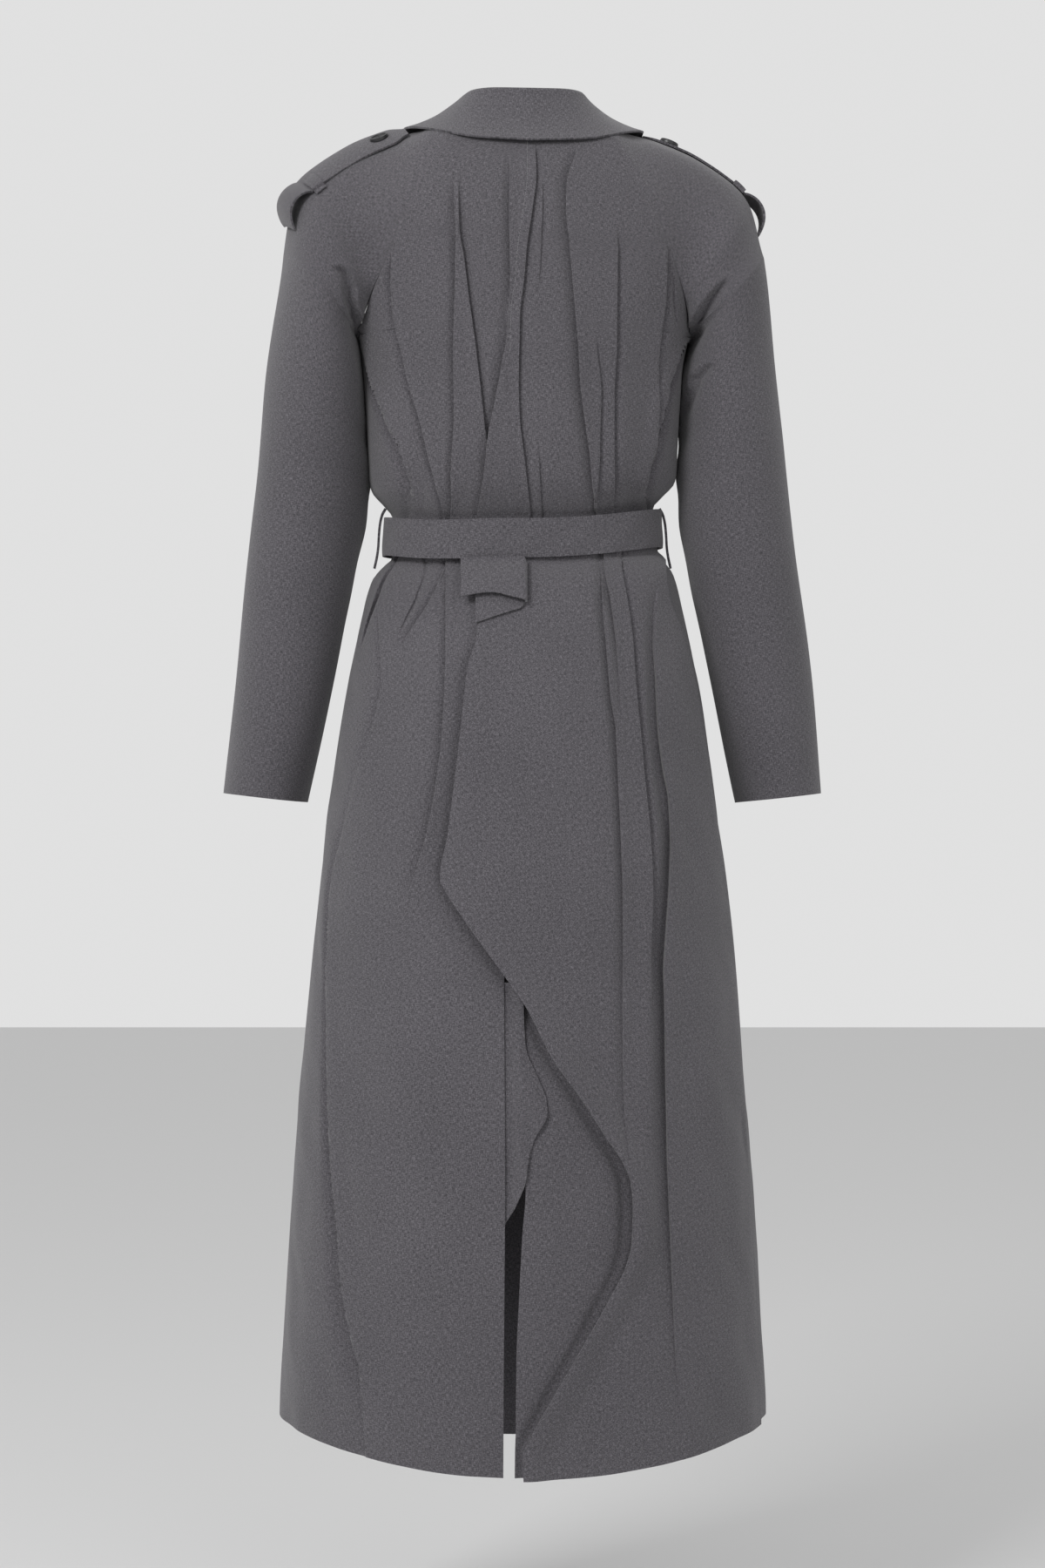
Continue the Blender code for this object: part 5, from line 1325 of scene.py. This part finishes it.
# Shoulder straps with their bands and buttons
straps = {
    "width": 0.042,
    "wall": 0.0020,
    "offset": 0.0030,
    "start": 0.117,
    "bandX": 0.2110,
    "end": 0.2297,
    "bandLength": 0.0130,
    "tipWidth": 0.55,
    "tipLength": 0.07,
    "bow": 0.0100,
    "bandWall": 0.0014,
    "bandLift": 0.0008,
    "rows": (46, 26),         # up to the band's end, and past it
    "columns": 25,
    "swell": 0.0005,
    # the band's corners as shares of half the strap's width: its ends lie down on the sleeve
    "bandCorners": (-1.30, -1.14, -1.07, -0.6, 0, 0.6, 1.07, 1.14, 1.30),
    "bandRows": 13,
    "bandColumns": 65,
    "bandSwell": 0.0003,
    # by side: the left one lies behind the top of the shoulder, and its front edge stands up;
    # the end of the right one slants, past its band
    "backward": {1: 0.0, -1: 0.0340},
    "tilt": {1: 0.0, -1: 0.0060},
    "endShear": {1: 0.085, -1: 0.0},
}


def overSleeve(s, across, offset):
    ring = sleeveRing(s)
    beyond = sleeveRing(s + 0.02)
    way = summedFrom0(stepLengths(ring, 0))
    way -= way[sleeves["half"]]
    points = pointsAlong(across, way, ring)
    lower = pointsAlong(across, way, beyond)
    normals = np.cross(lower - points, np.gradient(points, axis=0))
    normals /= np.linalg.norm(normals, axis=1)[:, None]
    return points + normals * np.asarray(offset)[..., None]


def bothSides(name, node, makeGrid, **more):
    right, left = (np.array(makeGrid(side)) for side in (1, -1))
    clothPiece(name + "Right", node + "_right", twisted(right), restsOn=["sleeveRight"], **more)
    clothPiece(name + "Left", node + "_left", twisted(left * np.array((-1, 1, 1))), flipped=True,
               restsOn=["sleeveLeft"], **more)


def strapGrid(side):
    start, band, end = (ridgeShare(straps[k]) for k in ("start", "bandX", "end"))
    length = straps["bandLength"] / ridgeWay()[-1]
    bandEnd = band + length * 0.4
    share = np.linspace(-1, 1, straps["columns"])
    # pressed edges, and a slight swelling along the middle
    swell = straps["swell"] * (1 - share ** 4)
    tilt = straps["tilt"][side] * rise(share, -1.0, 1.6)
    grid = []
    rows, rowsPast = straps["rows"]
    for s in np.concatenate([np.linspace(start, bandEnd, rows), np.linspace(bandEnd, end, rowsPast)[1:]]):
        tip = 1 - float(rise(s, start, start + straps["tipLength"]))
        width = straps["width"] / 2 * (1 - (1 - straps["tipWidth"]) * tip)
        past = np.clip((s - bandEnd) / (end - bandEnd), 0, 1)
        bow = straps["bow"] * float(np.sin(np.pi * past) ** 0.8)
        out = straps["offset"] + bow + swell + tilt * (1 - past) * (1 - 0.5 * tip)
        row = overSleeve(s, width * share - straps["backward"][side], out)
        row[:, 0] += straps["endShear"][side] * row[:, 1] * past
        grid.append(row)
    return grid


def bandGrid(side):
    band = ridgeShare(straps["bandX"])
    length = straps["bandLength"] / ridgeWay()[-1]
    corners = np.array(straps["bandCorners"])
    low = straps["bandWall"] + straps["bandLift"]
    high = straps["offset"] + straps["swell"] + low
    numbers = np.arange(len(corners))
    fine = np.linspace(0, numbers[-1], straps["bandColumns"])
    across = np.interp(fine, numbers, corners * straps["width"] / 2)
    offsets = np.interp(fine, numbers, np.where(np.abs(corners) < 1.1, high, low))
    # rounded, by a running mean of 7
    offsets = np.convolve(np.pad(offsets, 3, "edge"), np.ones(7) / 7, "valid")
    across -= straps["backward"][side]
    return [
        overSleeve(
            band + length * (share / 2 - 0.2), across,
            offsets + straps["bandSwell"] * (1 - share ** 4),
        )
        for share in np.linspace(-1, 1, straps["bandRows"])
    ]


bothSides("shoulderStrap", "shoulder_strap", strapGrid, wall=straps["wall"], held="laid")
bothSides("strapBand", "strap_band", bandGrid, wall=straps["bandWall"], held="folded")
print("straps done")

strapButton = {
    "x": 0.1425,
    "diameter": 0.019,
    "height": 0.0035,
    "lift": 0.0012,
    "body": 0.6,              # the rest of the height is the rim
    "rimFrom": 0.06,          # shares of the radius
    "rimWidth": 0.12,
    "dishSlope": 0.10,
    "dishDepth": 0.32,        # share of the height
    "holeRadius": 0.0009,
    "holeFromMiddle": 0.0021,
    "soft": 0.00035,
}


def makeStrapButton(side):
    s = ridgeShare(strapButton["x"])
    radius, height = strapButton["diameter"] / 2, strapButton["height"]
    across = np.array((-radius, 0.0, radius)) - straps["backward"][side]
    seat = overSleeve(s, across, np.full(3, straps["offset"]))
    further = overSleeve(s + 0.04, across, np.full(3, straps["offset"]))
    normal = np.cross(further[1] - seat[1], seat[2] - seat[0])
    normal /= np.linalg.norm(normal)
    bpy.ops.object.select_all(action="DESELECT")
    body = height * strapButton["body"]
    bpy.ops.mesh.primitive_cylinder_add(vertices=64, radius=radius, depth=body, location=(0, 0, body / 2))
    button = bpy.context.object
    bpy.ops.object.mode_set(mode="EDIT")
    shape = bmesh.from_edit_mesh(button.data)
    for face in shape.faces:
        face.select_set(face.normal.z > 0.9)
    bmesh.update_edit_mesh(button.data)
    # the rim rises from the top, with a dish inside it
    bpy.ops.mesh.inset(thickness=radius * strapButton["rimFrom"])
    bpy.ops.mesh.extrude_region_move(TRANSFORM_OT_translate={"value": (0, 0, height - body)})
    bpy.ops.mesh.inset(thickness=radius * strapButton["rimWidth"])
    bpy.ops.mesh.inset(thickness=radius * strapButton["dishSlope"])
    bpy.ops.transform.translate(value=(0, 0, -height * strapButton["dishDepth"]))
    bpy.ops.object.mode_set(mode="OBJECT")
    for k in range(4):
        # four sewing holes
        angle = math.pi / 4 + k * math.pi / 2
        away = strapButton["holeFromMiddle"]
        bpy.ops.mesh.primitive_cylinder_add(
            vertices=20, radius=strapButton["holeRadius"], depth=height * 3,
            location=(away * math.cos(angle), away * math.sin(angle), height / 2),
        )
        hole = bpy.context.object
        cut = button.modifiers.new("hole", "BOOLEAN")
        cut.object = hole
        cut.operation = "DIFFERENCE"
        cut.solver = "EXACT"
        applyAll(button)
        bpy.data.objects.remove(hole)
    soft = button.modifiers.new("soft", "BEVEL")
    soft.width = strapButton["soft"]
    soft.segments = 3
    soft.limit_method = "ANGLE"
    applyAll(button)
    mirrorSide = np.array((side, 1, 1))
    wayUp = normal * mirrorSide
    tip = twisted(np.array([[seat[1] * mirrorSide, seat[1] * mirrorSide + wayUp]]))[0]
    direction = Vector((tip[1] - tip[0]).tolist()).normalized()
    turnedUp = direction.to_track_quat("Z", "Y").to_matrix().to_4x4()
    turnedUp.translation = Vector(tip[0].tolist()) + direction * strapButton["lift"]
    button.data.transform(turnedUp)
    button.name = "strapButtonRight" if side > 0 else "strapButtonLeft"
    button.data.materials.clear()
    button.data.materials.append(buttonResin)
    smoothShade(button, 40)
    standsFor(button, "strap_button_right" if side > 0 else "strap_button_left")


makeStrapButton(1)
makeStrapButton(-1)
print("buttons done")

# The belt: two layers of the cloth, drawn tight, with a plain knot in front
belt = {
    "wall": 0.0025,
    "offset": 0.0090,
    "rows": 15,
    "columns": 300,
    "ripples": ((0.0005, 0.019, 3), (0.0004, 0.007, -5)),    # height, length and slant
    "flatBehindKnot": 0.92,
    "swell": 0.0004,
}


def beltGrid():
    grid = []
    turns = np.linspace(-1, 1, belt["columns"])
    for share in np.linspace(0.5, -0.5, belt["rows"]):
        section = BodySection(coat["belt"] + share * coat["beltHeight"])
        ways = turns * np.interp(np.pi, section.turn, section.way)
        ripple = sum(high * np.sin(ways / long + slant * share) for high, long, slant in belt["ripples"])
        ripple *= 1 - rise(np.abs(turns), belt["flatBehindKnot"], 1.0)
        swell = belt["swell"] * (1 - (2 * share) ** 4)
        grid.append(section.at(ways, belt["offset"] + ripple + swell))
    return grid


clothPiece("beltPiece", "belt", beltGrid(), wall=belt["wall"], closed=True, held="folded",
           restsOn=["backLeft", "backRight", "frontRight"])

carriers = {
    "rows": 40,
    "columns": 9,
    "width": 0.010,
    "wall": 0.0020,
    "line": (
        (0.1345, -0.3530), (0.1378, -0.3590), (0.1400, -0.3680), (0.1411, -0.3790),
        (0.1418, -0.3910), (0.1432, -0.4010), (0.1455, -0.4115),
    ),
}


def carrierGrid(side):
    line = np.array([[(x * side, y * carriers["width"], z) for y in (-0.5, 0, 0.5)]
                     for x, z in carriers["line"]])
    across = refined(line, carriers["columns"])
    return refined(across.transpose(1, 0, 2), carriers["rows"]).transpose(1, 0, 2)


for name, side in (("Right", 1), ("Left", -1)):
    clothPiece("beltCarrier" + name, "belt_carrier_" + name.lower(), carrierGrid(side),
               wall=carriers["wall"], flipped=side < 0, held="folded", restsOn=["beltPiece"])

# The folded tab under the belt: an outer layer, a turn at its right, an inner layer
tab = {
    "wall": 0.0013,
    "rows": 22,
    "columns": 90,
    "outerShare": 0.42,
    "wrinkle": 0.0008,
    "line": (
        (-0.0545, 0.0150, -0.3915, -0.4300), (-0.0435, 0.0150, -0.3915, -0.4279),
        (-0.0325, 0.0150, -0.3915, -0.4268), (-0.0215, 0.0150, -0.3915, -0.4276),
        (-0.0135, 0.0150, -0.3915, -0.4303), (0.0005, 0.0150, -0.3915, -0.4340),
        (0.0037, 0.0135, -0.3975, -0.4370), (0.0045, 0.0105, -0.3975, -0.4370),
        (0.0033, 0.0068, -0.3975, -0.4370), (-0.0021, 0.0062, -0.4055, -0.4434),
        (-0.0123, 0.0062, -0.4055, -0.4470), (-0.0225, 0.0062, -0.4055, -0.4507),
        (-0.0328, 0.0062, -0.4055, -0.4543), (-0.0430, 0.0062, -0.4055, -0.4580),
    ),
}


def tabGrid():
    line = refined([tab["line"]], tab["columns"])[0]
    grid = []
    for share in np.linspace(0, 1, tab["rows"]):
        row = []
        for k, (x, offset, top, bottom) in enumerate(line):
            section = BodySection(top + (bottom - top) * share)
            back = np.abs(section.turn) < np.pi / 2
            way = np.interp(x, section.points[back, 0], section.way[back])
            wrinkle = 0
            if k < tab["columns"] * tab["outerShare"]:
                wrinkle = tab["wrinkle"] * math.sin(math.pi * share) * math.sin(x / 0.0105 + 5 * share)
            row.append(section.at([way], [offset + wrinkle])[0])
        grid.append(row)
    return grid


clothPiece("backTab", "back_tab", tabGrid(), wall=tab["wall"], held="folded",
           restsOn=["backLeft", "backRight", "beltPiece"])
print("belt and tab done")

knot = {
    "x": -0.0120,
    "offset": 0.0120,
    "size": (0.042, 0.022, 0.048),
    "ends": (
        ("beltEndLeft", "belt_end_left", -0.022, 0.300, 0.0100),
        ("beltEndRight", "belt_end_right", 0.030, 0.340, 0.0142),
    ),
    "bevel": 0.0085,
    "slant": 0.35,            # of the wrapped turn over the knot
    "creases": (0.0125, -0.0135),
    "creaseWidth": 0.0022,
    "endWall": 0.0022,
    "endRows": 90,
    "endColumns": 15,
    "endStart": 0.010,        # below the belt
}


def makeKnot():
    section = BodySection(coat["belt"])
    middle = section.at([section.frontWay(knot["x"])], [belt["offset"] + knot["offset"]])[0]
    bpy.ops.object.select_all(action="DESELECT")
    bpy.ops.mesh.primitive_cube_add(size=1, location=(0, 0, 0))
    piece = bpy.context.object
    bpy.ops.object.mode_set(mode="EDIT")
    bpy.ops.mesh.select_all(action="SELECT")
    bpy.ops.transform.resize(value=knot["size"])
    bpy.ops.mesh.bevel(offset=knot["bevel"], segments=4, affect="EDGES")
    bpy.ops.mesh.select_all(action="SELECT")
    bpy.ops.mesh.subdivide(number_cuts=5, smoothness=0.0)
    bpy.ops.object.mode_set(mode="OBJECT")
    # the wrapped turn lies slantwise over the knot, with a crease at each of its edges
    for vertex in piece.data.vertices:
        x, y, z = vertex.co
        slant = z + knot["slant"] * x
        crease = sum(math.exp(-((slant - at) / knot["creaseWidth"]) ** 2) for at in knot["creases"])
        fine = math.exp(-((slant - 0.002 - 0.2 * x) / 0.0016) ** 2)
        pinch = 1 - 0.10 * crease - 0.035 * fine
        vertex.co.x = x * (pinch - 0.10 * min(abs(z) / 0.024, 1) ** 2)
        vertex.co.y = y * pinch
    piece.data.transform(Matrix.Translation(Vector(middle.tolist())))
    piece.location = (0, 0, 0)
    piece.name = "beltKnot"
    piece.data.materials.clear()
    piece.data.materials.append(straightGrain)
    smoothShade(piece, 60)
    standsFor(piece, "belt_knot")


makeKnot()


def beltEndGrid(lean, length, offset):
    top = coat["belt"] - coat["beltHeight"] / 2 - knot["endStart"]
    grid = []
    for share in np.linspace(0, 1, knot["endRows"]):
        section = BodySection(top - share * length)
        x = knot["x"] + lean * (0.35 + share)
        width = coat["beltHeight"] * (0.8 + 0.2 * min(share * 4, 1))
        across = np.linspace(0.5, -0.5, knot["endColumns"])
        ways = [section.frontWay(x + width * k) for k in across]
        swell = belt["swell"] * (1 - (2 * across) ** 4) + 0.0012 * math.sin(share * 7) * across
        gather = 0.0010 * np.cos(across * 19) * max(1 - share * 5, 0)
        grid.append(section.at(ways, offset + swell + gather))
    return grid


for name, node, lean, length, offset in knot["ends"]:
    clothPiece(name, node, beltEndGrid(lean, length, offset), wall=knot["endWall"],
               restsOn=["frontRight"])
print("knot and ends done")

# The picture: a level camera straight behind the coat
scene = bpy.context.scene
bpy.ops.object.select_all(action="DESELECT")
cameraData = bpy.data.cameras.new("photoCamera")
camera = bpy.data.objects.new("photoCamera", cameraData)
scene.collection.objects.link(camera)
camera.location = (0, -eye["distance"], eye["level"])
camera.rotation_euler = (math.radians(90), 0, 0)
cameraData.sensor_fit = "VERTICAL"
cameraData.sensor_height = 36
cameraData.lens = cameraData.sensor_height * eye["distance"] / eye["frameHeight"]
scene.camera = camera

# A plain pale floor, with a soft key light from the left and weak fill
bpy.ops.mesh.primitive_plane_add(size=14, location=(0, 2, -1.47))
floor = bpy.context.object
floor.name = "paleFloor"
# Matt white paper, in the grey that it has under this light
floor.data.materials.append(
    newMaterial("whitePaperFloor", {"Base Color": fromHex("#d0d0d0"), "Roughness": 0.9})[0]
)

world = bpy.data.worlds.new("studio")
scene.world = world
world.use_nodes = True
for key, value in (("Color", (1, 1, 1, 1)), ("Strength", 0.75)):
    world.node_tree.nodes["Background"].inputs[key].default_value = value


def addLight(name, place, target, size, power):
    data = bpy.data.lights.new(name, "AREA")
    data.shape = "SQUARE"
    data.size = size
    data.energy = power
    light = bpy.data.objects.new(name, data)
    scene.collection.objects.link(light)
    light.location = place
    light.rotation_euler = (Vector(target) - Vector(place)).to_track_quat("-Z", "Y").to_euler()


addLight("keyLeft", (-1.9, -3.0, 1.5), (0, 0, -0.5), 1.3, 102)
addLight("fillFront", (1.6, -3.2, 0.2), (0, 0, -0.7), 2.4, 20)
scene.view_settings.view_transform = "Standard"
